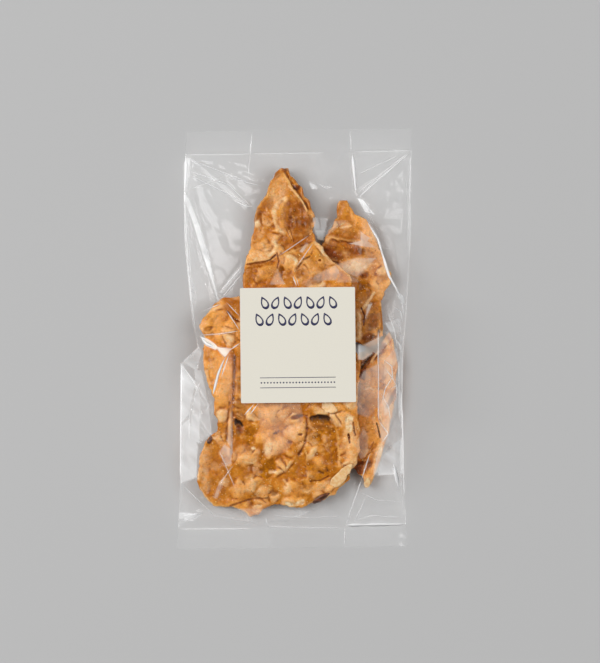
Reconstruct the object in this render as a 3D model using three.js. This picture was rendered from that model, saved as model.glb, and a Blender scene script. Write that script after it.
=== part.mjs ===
// A clear side-gusseted bag of broken nut brittle, heat sealed at both ends, with a square paper
// label stuck on its front. The bag lies on its back, so +Z points out of the front, +Y points to
// the bag's top end, and the origin is at the middle of the footprint, on the surface it lies on.
// Millimetres throughout.
//
// The bag is one closed solid out to the film. Its underside is flat. Its front is a tent: the film
// runs straight from the high points of the brittle inside, and from the flat patch under the
// label, down to the two seals and the two side folds.

import * as THREE from "three";

// Driving sizes.
const bagLength = 186; // over both seal bands
const endSkew = 0.015; // the ends are off square: their rise to the right, per mm across
const sealBand = 9.6; // width of the flat band beyond each seal line
const bandThickness = 0.6; // the four flat film layers of a band, with the air between them
const sideHeight = 5.5; // of the folded edge along each side, away from the seals
const sideRise = 44; // how far from a seal line the folded edge reaches that height
const labelSide = 50.8; // a two inch square label
const labelThickness = 0.3;
const labelCorner = 0.6; // radius of the label's corners
const labelGap = 0.3; // between the label and the film under it
const labelCentre = new THREE.Vector2(0.9, -2.7);
const labelTurn = THREE.MathUtils.degToRad(0.6); // anticlockwise, seen from the front
const filmUnderLabel = 18.6; // height of the film where the label sits
const patchMargin = 1.5; // of film at that height all round the label

// How steeply the film falls away.
const tentSlope = 0.5; // from a high point of the brittle
const sideSlope = 0.7; // up from a side fold
const sealSlope = 0.42; // up from a seal line

// How widely two slopes are rounded into each other.
const moundBlend = 3;
const patchBlend = 0.5;
const roofBlend = 2;

// Film mesh: quads across and along.
const acrossSteps = 30;
const alongSteps = 56;

// The two side folds, as [y, x] from the top end down. The left one is pinched in beside the label.
const leftFold = [
  [93, -48.9],
  [68, -50],
  [46, -49.6],
  [30, -48.2],
  [8, -46],
  [-3, -43.4],
  [-10, -51.2],
  [-65, -51.6],
  [-78, -52.3],
  [-93, -53.1],
];
const rightFold = [
  [93, 51.6],
  [62, 51.2],
  [40, 50.8],
  [17, 49.4],
  [-5, 47.9],
  [-30, 47.2],
  [-60, 47.6],
  [-93, 49.8],
];

// Each mound is one piece of brittle under the film: a line between two points, with the radius
// and the height of the piece at each end.
const mounds = [
  { from: [-5, 71], to: [-1, 24], radius: [3, 17], height: [9.5, 16.5] }, // tall pointed piece
  { from: [24, 57], to: [34, 16], radius: [4, 9], height: [8, 9.5] }, // piece behind it, right
  { from: [36, -2], to: [33, -57], radius: [8, 5], height: [9, 7.5] }, // long piece, lower right
  { from: [-30, 7], to: [-24, -42], radius: [10, 13], height: [13.5, 15] }, // broad piece, left arm
  { from: [-21, -57], to: [11, -51], radius: [19, 19], height: [13, 15] }, // broad piece, foot
];

const smoothMin = (a, b, blend) => {
  const h = Math.max(blend - Math.abs(a - b), 0) / blend;
  return Math.min(a, b) - (h * h * blend) / 4;
};
const smoothMax = (a, b, blend) => -smoothMin(-a, -b, blend);

// x of a side fold at height y, by straight runs between its points.
function foldAt(fold, y) {
  const next = Math.max(1, fold.findIndex(([py]) => py <= y));
  const [y0, x0] = fold[next - 1];
  const [y1, x1] = fold[next];
  return THREE.MathUtils.mapLinear(y, y0, y1, x0, x1);
}

// Height of the film where one mound alone holds it up.
function moundHeight({ from, to, radius, height }, x, y) {
  const start = new THREE.Vector2(...from);
  const run = new THREE.Vector2(...to).sub(start);
  const offset = new THREE.Vector2(x, y).sub(start);
  const share = THREE.MathUtils.clamp(offset.dot(run) / run.lengthSq(), 0, 1);
  const distance = offset.sub(run.multiplyScalar(share)).length();
  const clear = Math.max(0, distance - THREE.MathUtils.lerp(...radius, share));
  return THREE.MathUtils.lerp(...height, share) - tentSlope * clear;
}

// Height of the film where the flat patch under the label alone holds it up.
function patchHeight(x, y) {
  const p = new THREE.Vector2(x, y).sub(labelCentre).rotateAround(new THREE.Vector2(), -labelTurn);
  const margin = labelSide / 2 + patchMargin;
  const clear = Math.hypot(Math.max(0, Math.abs(p.x) - margin), Math.max(0, Math.abs(p.y) - margin));
  return filmUnderLabel - tentSlope * clear;
}

// Height of the film's front at (x, y). At a seal line all layers meet in the flat band.
function frontHeight(x, y) {
  const tops = mounds.map((mound) => moundHeight(mound, x, y));
  const overMounds = tops.reduce((a, b) => smoothMax(a, b, moundBlend), 0);
  const held = smoothMax(overMounds, patchHeight(x, y), patchBlend);
  const toSide = Math.min(x - foldAt(leftFold, y), foldAt(rightFold, y) - x);
  const toSeal = Math.max(0, bagLength / 2 - sealBand - Math.abs(y));
  const foldHeight = sideHeight * THREE.MathUtils.smoothstep(toSeal, 0, sideRise);
  const roof = Math.min(foldHeight + sideSlope * toSide, sealSlope * toSeal) + bandThickness;
  const tent = Math.min(Math.max(smoothMin(held, roof, roofBlend), bandThickness), filmUnderLabel);
  return toSeal > 0 ? tent : bandThickness;
}

// A box with a fine grid, its sides drawn to the folds and its top face raised to the film. The
// whole grid is then sheared by the skew of the ends.
function bagGeometry() {
  const geometry = new THREE.BoxGeometry(1, bagLength, 1, acrossSteps, alongSteps, 1);
  const corner = geometry.getAttribute("position");
  for (let i = 0; i < corner.count; i += 1) {
    const y = corner.getY(i);
    const x = THREE.MathUtils.lerp(foldAt(leftFold, y), foldAt(rightFold, y), corner.getX(i) + 0.5);
    const z = corner.getZ(i) > 0 ? frontHeight(x, y) : 0;
    corner.setXYZ(i, x, y + endSkew * x, z);
  }
  geometry.computeVertexNormals();
  return geometry;
}

// A flat square of paper with its corners just taken off.
function labelGeometry() {
  const half = labelSide / 2;
  const round = labelCorner;
  const outline = new THREE.Shape();
  outline.moveTo(-half + round, -half);
  outline.lineTo(half - round, -half);
  outline.quadraticCurveTo(half, -half, half, -half + round);
  outline.lineTo(half, half - round);
  outline.quadraticCurveTo(half, half, half - round, half);
  outline.lineTo(-half + round, half);
  outline.quadraticCurveTo(-half, half, -half, half - round);
  outline.lineTo(-half, -half + round);
  outline.quadraticCurveTo(-half, -half, -half + round, -half);
  return new THREE.ExtrudeGeometry(outline, {
    depth: labelThickness,
    bevelEnabled: false,
    curveSegments: 3,
  });
}

const bag = new THREE.Mesh(
  bagGeometry(),
  new THREE.MeshStandardMaterial({ color: 0xcdcdcb, roughness: 0.12, metalness: 0 }),
);
bag.name = "bag";

const label = new THREE.Mesh(
  labelGeometry(),
  new THREE.MeshStandardMaterial({ color: 0xe3dfd2, roughness: 0.75, metalness: 0 }),
);
label.name = "label";
label.position.set(labelCentre.x, labelCentre.y, filmUnderLabel + labelGap);
label.rotation.z = labelTurn;

const pack = new THREE.Group();
pack.add(bag, label);

export default pack;
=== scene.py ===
# A clear side-gusseted bag of nut brittle lying on its back, with a square paper label.
# Settings are in millimetres and degrees; meshes are put down in metres.
import math
import bmesh
import bpy
import numpy as np
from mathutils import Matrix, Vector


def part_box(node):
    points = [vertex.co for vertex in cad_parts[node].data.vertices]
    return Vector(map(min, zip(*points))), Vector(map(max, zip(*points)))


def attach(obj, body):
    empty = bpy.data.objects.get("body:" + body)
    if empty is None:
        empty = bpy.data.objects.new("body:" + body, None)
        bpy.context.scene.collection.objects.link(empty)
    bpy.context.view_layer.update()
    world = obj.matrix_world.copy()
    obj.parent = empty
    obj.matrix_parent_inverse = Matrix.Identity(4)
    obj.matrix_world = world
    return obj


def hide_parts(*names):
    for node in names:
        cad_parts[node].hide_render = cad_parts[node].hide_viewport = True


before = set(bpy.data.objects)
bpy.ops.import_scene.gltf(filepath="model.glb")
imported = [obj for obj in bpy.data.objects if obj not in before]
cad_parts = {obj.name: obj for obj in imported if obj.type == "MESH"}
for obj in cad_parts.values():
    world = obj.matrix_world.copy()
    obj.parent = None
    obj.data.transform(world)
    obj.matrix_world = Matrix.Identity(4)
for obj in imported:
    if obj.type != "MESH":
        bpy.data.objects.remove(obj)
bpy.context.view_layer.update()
mm = 0.001
latticeSize = 64  # random tables repeat after this many cells


def smoothStep(low, high, x):  # 0 below low, 1 above high, eased between
    t = np.clip((x - low) / (high - low), 0, 1)
    return t * t * (3 - 2 * t)


# Random numbers from 0 to 1 on the corners of a square lattice, blended smoothly between them.
def smoothNoise(x, y, cell, seed):
    table = np.random.default_rng(seed).random((latticeSize, latticeSize))
    u, v = x / cell + 500.37, y / cell + 500.71
    i, j = np.floor(u).astype(int), np.floor(v).astype(int)
    f, g = smoothStep(0, 1, u - i), smoothStep(0, 1, v - j)
    i, j, ii, jj = (n % latticeSize for n in (i, j, i + 1, j + 1))
    low = table[i, j] * (1 - f) + table[ii, j] * f
    high = table[i, jj] * (1 - f) + table[ii, jj] * f
    return low * (1 - g) + high * g


# Scattered points, one to each lattice square: the distance to the nearest in cells, how much
# further the second nearest is, and a random number that belongs to the nearest.
def cellNoise(x, y, cell, seed):
    table = np.random.default_rng(seed).random((3, latticeSize, latticeSize))
    u, v = x / cell, y / cell
    i, j = np.floor(u).astype(int), np.floor(v).astype(int)
    near, second, owner = np.full(x.shape, 9.0), np.full(x.shape, 9.0), np.zeros(x.shape)
    for di in (-1, 0, 1):
        for dj in (-1, 0, 1):
            p, q = (i + di) % latticeSize, (j + dj) % latticeSize
            away = np.hypot(i + di + table[0, p, q] - u, j + dj + table[1, p, q] - v)
            closer = away < near
            second = np.where(closer, near, np.minimum(second, away))
            owner = np.where(closer, table[2, p, q], owner)
            near = np.minimum(near, away)
    return near, second - near, owner


# Flat triangles over a turned lattice. Their corners lie on the surface that heightAt gives,
# each lifted at random by up to lift, so the surface becomes plane facets with straight creases.
def faceted(heightAt, x, y, cells, turn, lift, seed):
    table = np.random.default_rng(seed).random((latticeSize, latticeSize))
    c, s = math.cos(math.radians(turn)), math.sin(math.radians(turn))
    u, v = (x * c + y * s) / cells[0], (y * c - x * s) / cells[1]
    i, j = np.floor(u).astype(int), np.floor(v).astype(int)
    f, g = u - i, v - j

    def corner(di, dj):
        p, q = i + di, j + dj
        px, py = p * cells[0], q * cells[1]
        lifted = lift * table[p % latticeSize, q % latticeSize]
        return heightAt(px * c - py * s, px * s + py * c) + lifted

    low = corner(0, 0) * (1 - f - g) + corner(1, 0) * f + corner(0, 1) * g
    high = corner(1, 1) * (f + g - 1) + corner(0, 1) * (1 - f) + corner(1, 0) * (1 - g)
    return np.where(f + g < 1, low, high)


def flatGround(x, y):  # what facets of their own height alone are laid over
    return 0 * x


# The higher of two layers of facets. A layer is its cell sizes, turn, lift and seed.
def twoLayers(heightAt, x, y, layers):
    first, second = (faceted(heightAt, x, y, *layer) for layer in layers)
    return np.maximum(first, second)


# Distance of (x, y) along the line from start to end and to the left of it, and its length.
def lineOffsets(x, y, start, end):
    length = math.hypot(end[0] - start[0], end[1] - start[1])
    tx, ty = (end[0] - start[0]) / length, (end[1] - start[1]) / length
    along = (x - start[0]) * tx + (y - start[1]) * ty
    off = (y - start[1]) * tx - (x - start[0]) * ty
    return along, off, length


# How far (x, y) lies from the middle of a turned ellipse, where 1 is its rim.
def ellipseRadius(x, y, cx, cy, long, wide, turn):
    c, s = math.cos(math.radians(turn)), math.sin(math.radians(turn))
    return np.hypot(((x - cx) * c + (y - cy) * s) / long, ((y - cy) * c - (x - cx) * s) / wide)


def pathDistance(x, y, corners):  # to the nearest point of a line through corners
    away = np.full(np.shape(x), 1e3)
    for start, end in zip(corners, corners[1:]):
        along, off, length = lineOffsets(x, y, start, end)
        away = np.minimum(away, np.hypot(off, np.maximum(np.maximum(-along, along - length), 0)))
    return away


# How far inside a convex outline (x, y) lies: the least distance to the left of its edges, with
# the corners taken anticlockwise.
def depthInside(corners, x, y):
    cx, cy = np.mean(corners, axis=0)
    ordered = sorted(corners, key=lambda corner: math.atan2(corner[1] - cy, corner[0] - cx))
    depth = np.full(np.shape(x), 1e3)
    for start, end in zip(ordered, ordered[1:] + ordered[:1]):
        depth = np.minimum(depth, lineOffsets(x, y, start, end)[1])
    return depth


# Puts a mesh down from points in millimetres. merge joins points closer than that and turns
# every face outwards.
def addMesh(name, points, faces, material, attributes=None, merge=0.0):
    mesh = bpy.data.meshes.new(name)
    mesh.from_pydata(points * mm, [], faces)
    for key, values in (attributes or {}).items():
        mesh.attributes.new(key, "FLOAT", "POINT").data.foreach_set("value", values.ravel())
    piece = bpy.data.objects.new(name, mesh)
    bpy.context.scene.collection.objects.link(piece)
    if merge:
        work = bmesh.new()
        work.from_mesh(mesh)
        bmesh.ops.remove_doubles(work, verts=work.verts, dist=merge * mm)
        bmesh.ops.recalc_face_normals(work, faces=work.faces)
        work.to_mesh(mesh)
        work.free()
    mesh.shade_smooth()
    mesh.materials.append(material)
    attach(piece, "root")
    return piece


# Quads between neighbours of a grid of points. Its columns run round and join up.
def gridFaces(rows, columns):
    first = np.arange((rows - 1) * columns).reshape(rows - 1, columns)
    after = np.roll(first, -1, axis=1)
    return np.stack([first, after, after + columns, first + columns], axis=-1).reshape(-1, 4)


# Many closed shapes in one mesh. Each part is its points, its faces and one value to a point.
def joinParts(parts):
    counts = np.cumsum([0] + [len(part[0]) for part in parts])
    faces = [[start + corner for corner in face]
             for start, part in zip(counts, parts) for face in part[1]]
    return np.vstack([part[0] for part in parts]), faces, np.concatenate([part[2] for part in parts])


def linear(hexColour):  # sRGB hex to linear RGBA
    parts = [int(hexColour[i:i + 2], 16) / 255 for i in (0, 2, 4)]
    return [p / 12.92 if p <= 0.04045 else ((p + 0.055) / 1.055) ** 2.4 for p in parts] + [1]


def newMaterial(name):
    material = bpy.data.materials.new(name)
    material.use_nodes = True
    material.node_tree.nodes.clear()
    return material


# Adds a node. An input that is a socket is linked; any other value is set.
def addNode(tree, kind, out=None, inputs=None, **settings):
    node = tree.nodes.new(kind)
    for key, value in settings.items():
        setattr(node, key, value)
    for key, value in (inputs or {}).items():
        if isinstance(value, bpy.types.NodeSocket):
            tree.links.new(value, node.inputs[key])
        else:
            node.inputs[key].default_value = value
    return node.outputs[out] if out is not None else node


def mixColour(tree, factor, low, high, blend="MIX"):
    inputs = {0: factor, 6: low, 7: high}
    return addNode(tree, "ShaderNodeMix", 2, inputs, data_type="RGBA", blend_type=blend)


def ramp(tree, value, low, high, start=0.0, end=1.0):
    inputs = {0: value, 1: low, 2: high, 3: start, 4: end}
    return addNode(tree, "ShaderNodeMapRange", 0, inputs, interpolation_type="SMOOTHSTEP")


def multiply(tree, first, second):
    return addNode(tree, "ShaderNodeMath", 0, {0: first, 1: second}, operation="MULTIPLY")


def mottled(tree, value, pair, start, end):  # a pair of colours, blotted into each other
    first, second = (linear(colour) for colour in pair)
    return mixColour(tree, ramp(tree, value, start, end), first, second)


def blots(tree, place, size, detail=4.0):  # noise whose blots are about size millimetres
    inputs = {"Vector": place, "Scale": 1 / (size * mm), "Detail": detail}
    return addNode(tree, "ShaderNodeTexNoise", 0, inputs)


def bump(tree, height, strength, depth, under=None):
    inputs = {"Height": height, "Strength": strength, "Distance": depth * mm}
    if under:
        inputs["Normal"] = under
    return addNode(tree, "ShaderNodeBump", "Normal", inputs)


print("stage: materials")

# Each pair is mottled into the other.
sugarColours = {
    "low": "cb7617", "high": "fbac50", "ochre": "e2922a", "shade": "b8661c", "light": "ffc374",
    "amber": ("cc7c06", "9c5802"), "peach": ("f6ae66", "ffcf96"), "cream": ("ffe2b4", "f8c486"),
    "skin": ("984a18", "66300a"), "dark": ("46260e", "2a1608"),
    # rim is a painted highlight colour, and the last colour here is painted shade for the hollows.
    "rim": "fcc274", "fleck": "6a2f0e", "speck": "ffdc8c", "hollowShade": "b49c7e",
}
nutColours = {"flesh": ("fbd6a0", "f2be7e"), "skin": ("7e4526", "432412")}
labelColours = {"paper": ("f0ecdf", "ebe6d8"), "ink": ("20224c", "34355e")}
filmLook = {
    "headOn": 0.028, "slanting": 0.9,  # share of the light that it mirrors
    "roughness": 0.1,
    # The warm white is painted light thrown up from the sugar under the film.
    "sugarGlowTint": "fff2e4", "elsewhere": "fbfbfb",  # whitened film
}


# Brittle: sugar boiled to caramel with butter, poured over roasted nuts and broken cold. Glossy,
# amber and clear where it pooled, tan and cloudy over the nuts, with tiny bubbles all through.
def boiledSugar():
    material = newMaterial("boiled_sugar_brittle")
    tree = material.node_tree
    place = addNode(tree, "ShaderNodeTexCoord", "Object")
    tone = {key: addNode(tree, "ShaderNodeAttribute", "Fac", attribute_name=key)
            for key in ("amber", "skin", "peach", "cream", "dark", "high", "rim", "crest")}
    broad, fine, tiny = blots(tree, place, 8), blots(tree, place, 2.0, 6), blots(tree, place, 0.7, 3)
    bubble = addNode(tree, "ShaderNodeTexVoronoi", 0, {"Vector": place, "Scale": 1 / (1.6 * mm)})
    fleck = addNode(tree, "ShaderNodeTexVoronoi", 0, {"Vector": place, "Scale": 1 / (3.1 * mm)})
    single = {key: linear(value) for key, value in sugarColours.items() if isinstance(value, str)}

    colour = mixColour(tree, ramp(tree, tone["high"], 0.2, 0.8), single["low"], single["high"])
    colour = mixColour(tree, ramp(tree, broad, 0.42, 0.62, 0, 0.6), colour, single["ochre"])
    colour = mixColour(tree, ramp(tree, fine, 0.5, 0.7, 0, 0.45), colour, single["shade"])
    colour = mixColour(tree, ramp(tree, fine, 0.46, 0.3, 0, 0.45), colour, single["light"])
    # Painted highlight along the broken edges and the ledges' lines, in the rim tone.
    colour = mixColour(tree, tone["rim"], colour, single["rim"])
    for key in ("amber", "skin", "peach", "cream", "dark"):
        blotted = mottled(tree, fine, sugarColours[key], 0.38, 0.62)
        colour = mixColour(tree, tone[key], colour, blotted)
    colour = mixColour(tree, ramp(tree, fleck, 0.11, 0.06, 0, 0.6), colour, single["fleck"])
    pooled = addNode(tree, "ShaderNodeMath", 0, {0: tone["amber"], 1: tone["skin"]}, operation="MAXIMUM")

    def eased(elsewhere, inPools):  # from one value to another where sugar pooled or skins show
        return ramp(tree, pooled, 0.2, 0.8, elsewhere, inPools)

    # Pale specks: bubbles where the broad noise is high, and none in the dark holes.
    rare = ramp(tree, broad, 0.48, 0.6, 0, eased(1, 0.3))
    notDark = ramp(tree, tone["dark"], 0.1, 0.4, 1, 0)
    few = multiply(tree, ramp(tree, bubble, 0.2, 0.1, 0, notDark), rare)
    colour = mixColour(tree, few, colour, single["speck"])
    colour = mixColour(tree, 1.0, colour, ramp(tree, tiny, 0.3, 0.7, 0.88, 1.1), "MULTIPLY")
    # Painted shade: where a point lies lower than the points round it, its colour is darkened.
    hollowShade = ramp(tree, tone["crest"], 0.45, 0.05, 0, 0.8)
    colour = mixColour(tree, hollowShade, colour, single["hollowShade"], "MULTIPLY")
    # Painted highlight: where a point stands higher than the points round it, it is lightened, less where
    # sugar pooled.
    crestHighlight = ramp(tree, tone["crest"], 0.6, 1.0, 0, eased(0.45, 0.08))
    colour = mixColour(tree, crestHighlight, colour, single["light"])

    normal = bump(tree, fine, eased(0.6, 0.25), 0.6)
    normal = bump(tree, tiny, eased(0.5, 0.15), 0.22, normal)
    normal = bump(tree, few, 0.6, 0.3, normal)
    rough = multiply(tree, ramp(tree, fine, 0.3, 0.7, 0.1, 0.32), eased(1.0, 0.5))
    shader = addNode(tree, "ShaderNodeBsdfPrincipled", 0, {
        "Base Color": colour, "Roughness": rough, "Normal": normal,
        "IOR": 1.5, "Specular IOR Level": 0.22, "Subsurface Weight": 0.15,
        "Subsurface Radius": (1.0, 0.5, 0.2), "Subsurface Scale": 1.2 * mm})
    addNode(tree, "ShaderNodeOutputMaterial", None, {"Surface": shader})
    return material


# Roasted almonds and peanuts: thin papery red-brown skin, waxy cream flesh where they are cut.
def roastedNut():
    material = newMaterial("roasted_nut")
    tree = material.node_tree
    place = addNode(tree, "ShaderNodeTexCoord", "Object")
    cut = addNode(tree, "ShaderNodeAttribute", "Fac", attribute_name="cut")
    mottle = blots(tree, place, 1.2)
    flesh, skin = (mottled(tree, mottle, nutColours[key], 0.35, 0.65) for key in ("flesh", "skin"))
    shader = addNode(tree, "ShaderNodeBsdfPrincipled", 0, {
        "Base Color": mixColour(tree, cut, skin, flesh), "Roughness": 0.38,
        "Normal": bump(tree, mottle, 0.35, 0.2), "Subsurface Weight": 0.2,
        "Subsurface Radius": (1.0, 0.6, 0.3), "Subsurface Scale": 1.0 * mm})
    addNode(tree, "ShaderNodeOutputMaterial", None, {"Surface": shader})
    return material


# Cellophane: clear film that mirrors a little of the light head on and most of it at a slant, so
# each flat facet shows a lamp or nothing. It shines less where it clings to other film or to the
# sugar. Where it is creased or sealed it is whitened; its white milk also holds painted
# reflections of the lamps where it hangs slack and in the panes, and it is a little warmer where the
# sugar lies under it, painted light thrown up from the sugar.
def cellophane():
    material = newMaterial("cellophane_film")
    tree = material.node_tree
    hazeAndReflection = addNode(tree, "ShaderNodeAttribute", "Fac", attribute_name="hazeAndReflection")
    facing = addNode(tree, "ShaderNodeLayerWeight", "Facing", {"Blend": 0.5})
    steep = addNode(tree, "ShaderNodeMath", 0, {0: facing, 1: 5.0}, operation="POWER")
    shares = {0: steep, 1: 0, 2: 1, 3: filmLook["headOn"], 4: filmLook["slanting"]}
    mirror = addNode(tree, "ShaderNodeMapRange", 0, shares)
    shine = addNode(tree, "ShaderNodeAttribute", "Fac", attribute_name="shine")
    mirror = multiply(tree, mirror, shine)
    white = (1, 1, 1, 1)
    clear = addNode(tree, "ShaderNodeBsdfTransparent", 0, {"Color": white})
    gloss = addNode(tree, "ShaderNodeBsdfGlossy", 0, {"Color": white, "Roughness": filmLook["roughness"]})
    film = addNode(tree, "ShaderNodeMixShader", 0, {0: mirror, 1: clear, 2: gloss})
    # Painted light: over the sugar the milk takes a warm tint, for light thrown up from the sugar.
    sugarGlowTint, elsewhere = linear(filmLook["sugarGlowTint"]), linear(filmLook["elsewhere"])
    tint = mixColour(tree, ramp(tree, shine, 0.09, 0.14), sugarGlowTint, elsewhere)
    milk = addNode(tree, "ShaderNodeBsdfDiffuse", 0, {"Color": tint})
    film = addNode(tree, "ShaderNodeMixShader", 0, {0: hazeAndReflection, 1: film, 2: milk})
    addNode(tree, "ShaderNodeOutputMaterial", None, {"Surface": film})
    return material


# Uncoated label paper: matt, warm white, with a faint fibre.
def labelPaper():
    material = newMaterial("uncoated_label_paper")
    tree = material.node_tree
    fibre = blots(tree, addNode(tree, "ShaderNodeTexCoord", "Object"), 0.6)
    colour = mixColour(tree, fibre, *(linear(colour) for colour in labelColours["paper"]))
    shader = addNode(tree, "ShaderNodeBsdfPrincipled", 0,
                     {"Base Color": colour, "Roughness": 0.8, "Normal": bump(tree, fibre, 0.12, 0.05)})
    addNode(tree, "ShaderNodeOutputMaterial", None, {"Surface": shader})
    return material


# Offset ink: near-black navy, a little shinier than the paper, uneven where it soaked in.
def printedInk():
    material = newMaterial("printed_navy_ink")
    tree = material.node_tree
    soaked = blots(tree, addNode(tree, "ShaderNodeTexCoord", "Object"), 0.4)
    colour = mixColour(tree, soaked, *(linear(colour) for colour in labelColours["ink"]))
    shader = addNode(tree, "ShaderNodeBsdfPrincipled", 0, {"Base Color": colour, "Roughness": 0.5})
    addNode(tree, "ShaderNodeOutputMaterial", None, {"Surface": shader})
    return material


sugarMaterial = boiledSugar()
nutMaterial = roastedNut()
filmMaterial = cellophane()
paperMaterial = labelPaper()
inkMaterial = printedInk()

# A piece is a slab seen from the front as an outline round its centre. Its underside is at height
# lift under the centre, and over the length of the bag it slopes by tilt and curves by bend. A
# lump is x, y, half length, half width, turn, rise, tone and strength of the tone: nuts under the
# glaze are peach, cream or skin, pools are amber, holes are dark, painted shade in them, and plain
# leaves no tone; some cream lumps and streaks are painted highlights on the glaze and some skin
# lumps painted shade, and the rim tone is a painted highlight along edges. A streak is half width,
# rise, tone, strength and the points it runs through. A ledge is from, to, how far the surface
# drops on the right of that line, how far out the drop reaches, tone and strength.
tallPiece = {
    "name": "brittle_tall", "seed": 11, "centre": (-2, 30), "lift": 8.3, "tilt": -0.09,
    "bend": 0.0, "thickness": 6.0, "rounding": 0.8, "bed": 0.55,
    "outline": [
        (-6.5, 75.7), (-3.3, 75.4), (-2.6, 72.8), (0.3, 69.9), (2.8, 66.7), (3.9, 63.1),
        (6.4, 61.3), (7, 57.3), (8.6, 54.8), (9, 52.3), (7.2, 47.9), (8.6, 43.2), (11.1, 41.4),
        (12.9, 37.5), (18, 33), (24, 28.3), (25.5, 20), (24, 6), (10, 0), (-8, 0), (-13, 3),
        (-20, 14), (-23.5, 24.1), (-23.1, 28.8), (-22.4, 33.9), (-20.3, 41.4), (-19, 47.6),
        (-18.3, 54.4), (-17, 59.1), (-13, 64.2), (-11.6, 69.2), (-9.1, 73.2)],
    "lumps": [
        (-6.6, 68.8, 4.8, 2.6, 75, 0.5, "peach", 0.6), (-4.8, 75, 1.7, 1.4, 0, 0.1, "skin", 0.8),
        (-1.4, 53.6, 10, 8.4, 95, 1.2, "plain", 0), (-1.2, 54.2, 7.4, 5.2, 95, 1.6, "skin", 0.45),
        (-0.4, 54.2, 8.4, 5.6, 92, 0, "skin", 0.86), (0.6, 57.2, 3.4, 3.0, 60, 0.1, "skin", 0.97),
        (1.8, 50.6, 4.6, 2.4, 100, 0.1, "skin", 0.97), (-2.4, 53.9, 0.9, 0.6, 0, 0, "dark", 0.3),
        (-17, 50.8, 2.0, 1.5, 100, 0.3, "cream", 0.95), (-14.6, 62, 3, 1.6, 50, 0.2, "amber", 0.4),
        (-15.6, 37.2, 5.8, 3.8, 12, 0.5, "peach", 0.95), (-12.8, 40.4, 3.6, 2.0, 20, 0.3, "peach", 0.9),
        (-16, 41, 3, 1.8, 10, 0.3, "peach", 0.8), (-13.2, 30, 4.8, 3.6, 22, 1.6, "skin", 0.3),
        (-19.6, 30.4, 2.6, 1.2, -10, -0.2, "amber", 0.5), (-20.8, 26.6, 2.4, 2.6, 0, 0, "skin", 0.25),
        # The skin lump at (4.2, 52) is painted shade down the right side of the dome.
        (4.2, 52, 8, 3.2, 96, 0, "skin", 0.8), (1.6, 41, 5, 4.4, 60, 0, "skin", 0.55),
        (8, 26, 6, 2.6, 20, 0.2, "skin", 0.8), (-3, 37.4, 4, 2, 0, 0, "skin", 0.35),
        (2.2, 58.6, 4.6, 3.4, 110, 0, "skin", 0.75), (0.4, 46.8, 3.6, 2.6, 90, 0, "skin", 0.5),
        (-16.2, 46.6, 3.4, 2.2, 80, 0, "peach", 0.4),
        (-3.4, 34.3, 3.9, 2.9, -20, 1.4, "peach", 0.6), (-6.0, 29.2, 3.6, 1.5, 100, -0.9, "amber", 1),
        (8.3, 33.1, 7.4, 4.0, 12, 1.8, "skin", 0.3), (1.6, 29.4, 2.4, 3.2, 0, -0.2, "skin", 0.8),
        (-4.4, 42, 2.6, 4.4, 20, -0.3, "skin", 0.5), (10.6, 34.8, 0.7, 0.5, 0, 0.1, "skin", 0.7),
        (-3.4, 27.6, 2.6, 3.4, 0, 0, "skin", 0.3), (3.6, 29.4, 2.6, 5, 20, 0, "skin", 0.5),
        (-8.2, 64.6, 7.4, 4, 72, 0, "peach", 0.6),
        (7.9, 52.8, 1.7, 1, 60, 0.1, "dark", 0.7), (7.2, 48.9, 1.3, 0.8, -20, 0.1, "dark", 0.7),
        (0.3, 66.8, 1.7, 1.3, 0, 0.2, "skin", 1), (-12.5, 54, 2.4, 3.4, 10, 0.3, "plain", 0),
        (-6.2, 35.4, 1.6, 3.6, 0, 0, "skin", 0.45), (1.8, 36.6, 3.0, 2.0, 45, 0, "skin", 0.45),
        (4.4, 46.6, 2.8, 2.2, 60, 0, "skin", 0.6), (-12.4, 60, 3.6, 2.4, 60, 0, "skin", 0.3)],
    "streaks": [
        # The first two streaks are a painted highlight on the glaze round the left foot of the dome.
        (1.0, 0.2, "cream", 0.75, [(-4.6, 62.4), (-8, 60.6), (-9.6, 56.4), (-9.4, 52)]),
        (0.9, 0.2, "cream", 0.65, [(-9.4, 52), (-8, 48.6), (-5.4, 46.6)]),
        (0.35, 0.25, "cream", 0.8, [(-3.2, 68), (-0.9, 65.3), (1.8, 62.6), (3.8, 59.4), (4.8, 56.8)]),
        (1.1, 0.4, "cream", 0.9, [(-9.8, 43), (-9, 41.2), (-9.4, 39), (-11.6, 37)]),
        (0.5, 0.2, "skin", 0.5, [(-15, 40), (-12.6, 40.6), (-10.6, 39.8)]),
        (0.9, 0.3, "cream", 1, [(-3.4, 36.6), (-1, 36), (0.2, 34.3), (0, 33)]),
        (1.2, 0.5, "cream", 0.95, [(9.4, 43), (11.4, 40.6), (12.7, 37.8)]),
        (0.7, 0.3, "cream", 0.8, [(12.7, 37.6), (15.4, 35), (17, 34)]),
        (0.4, -0.5, "skin", 1, [(-21.8, 33), (-18.6, 33.6), (-15, 33.9), (-11.4, 35), (-9, 37.2)]),
        (0.35, -0.4, "skin", 0.9, [(-8.4, 38), (-7.6, 34.4), (-8.2, 31.4)]),
        (0.5, -0.4, "dark", 0.5, [(1.2, 32), (3.4, 35.2), (6, 36.4)]),
        (0.25, -0.2, "skin", 0.7, [(-4.2, 48.6), (-1.8, 43.4)]),
        (0.25, -0.2, "skin", 0.7, [(-2.4, 48.2), (-0.9, 43.2)])],
    "ledges": [
        ((5.4, 57), (-5.3, 73.6), 1.2, 6, "amber", 0.3),
        ((-21.5, 33.4), (-9.8, 35.3), 0.5, 1.5, "skin", 0.3),
        ((9, 43.5), (-7.6, 36.7), 0.5, 3, "plain", 0)],
}
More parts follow.
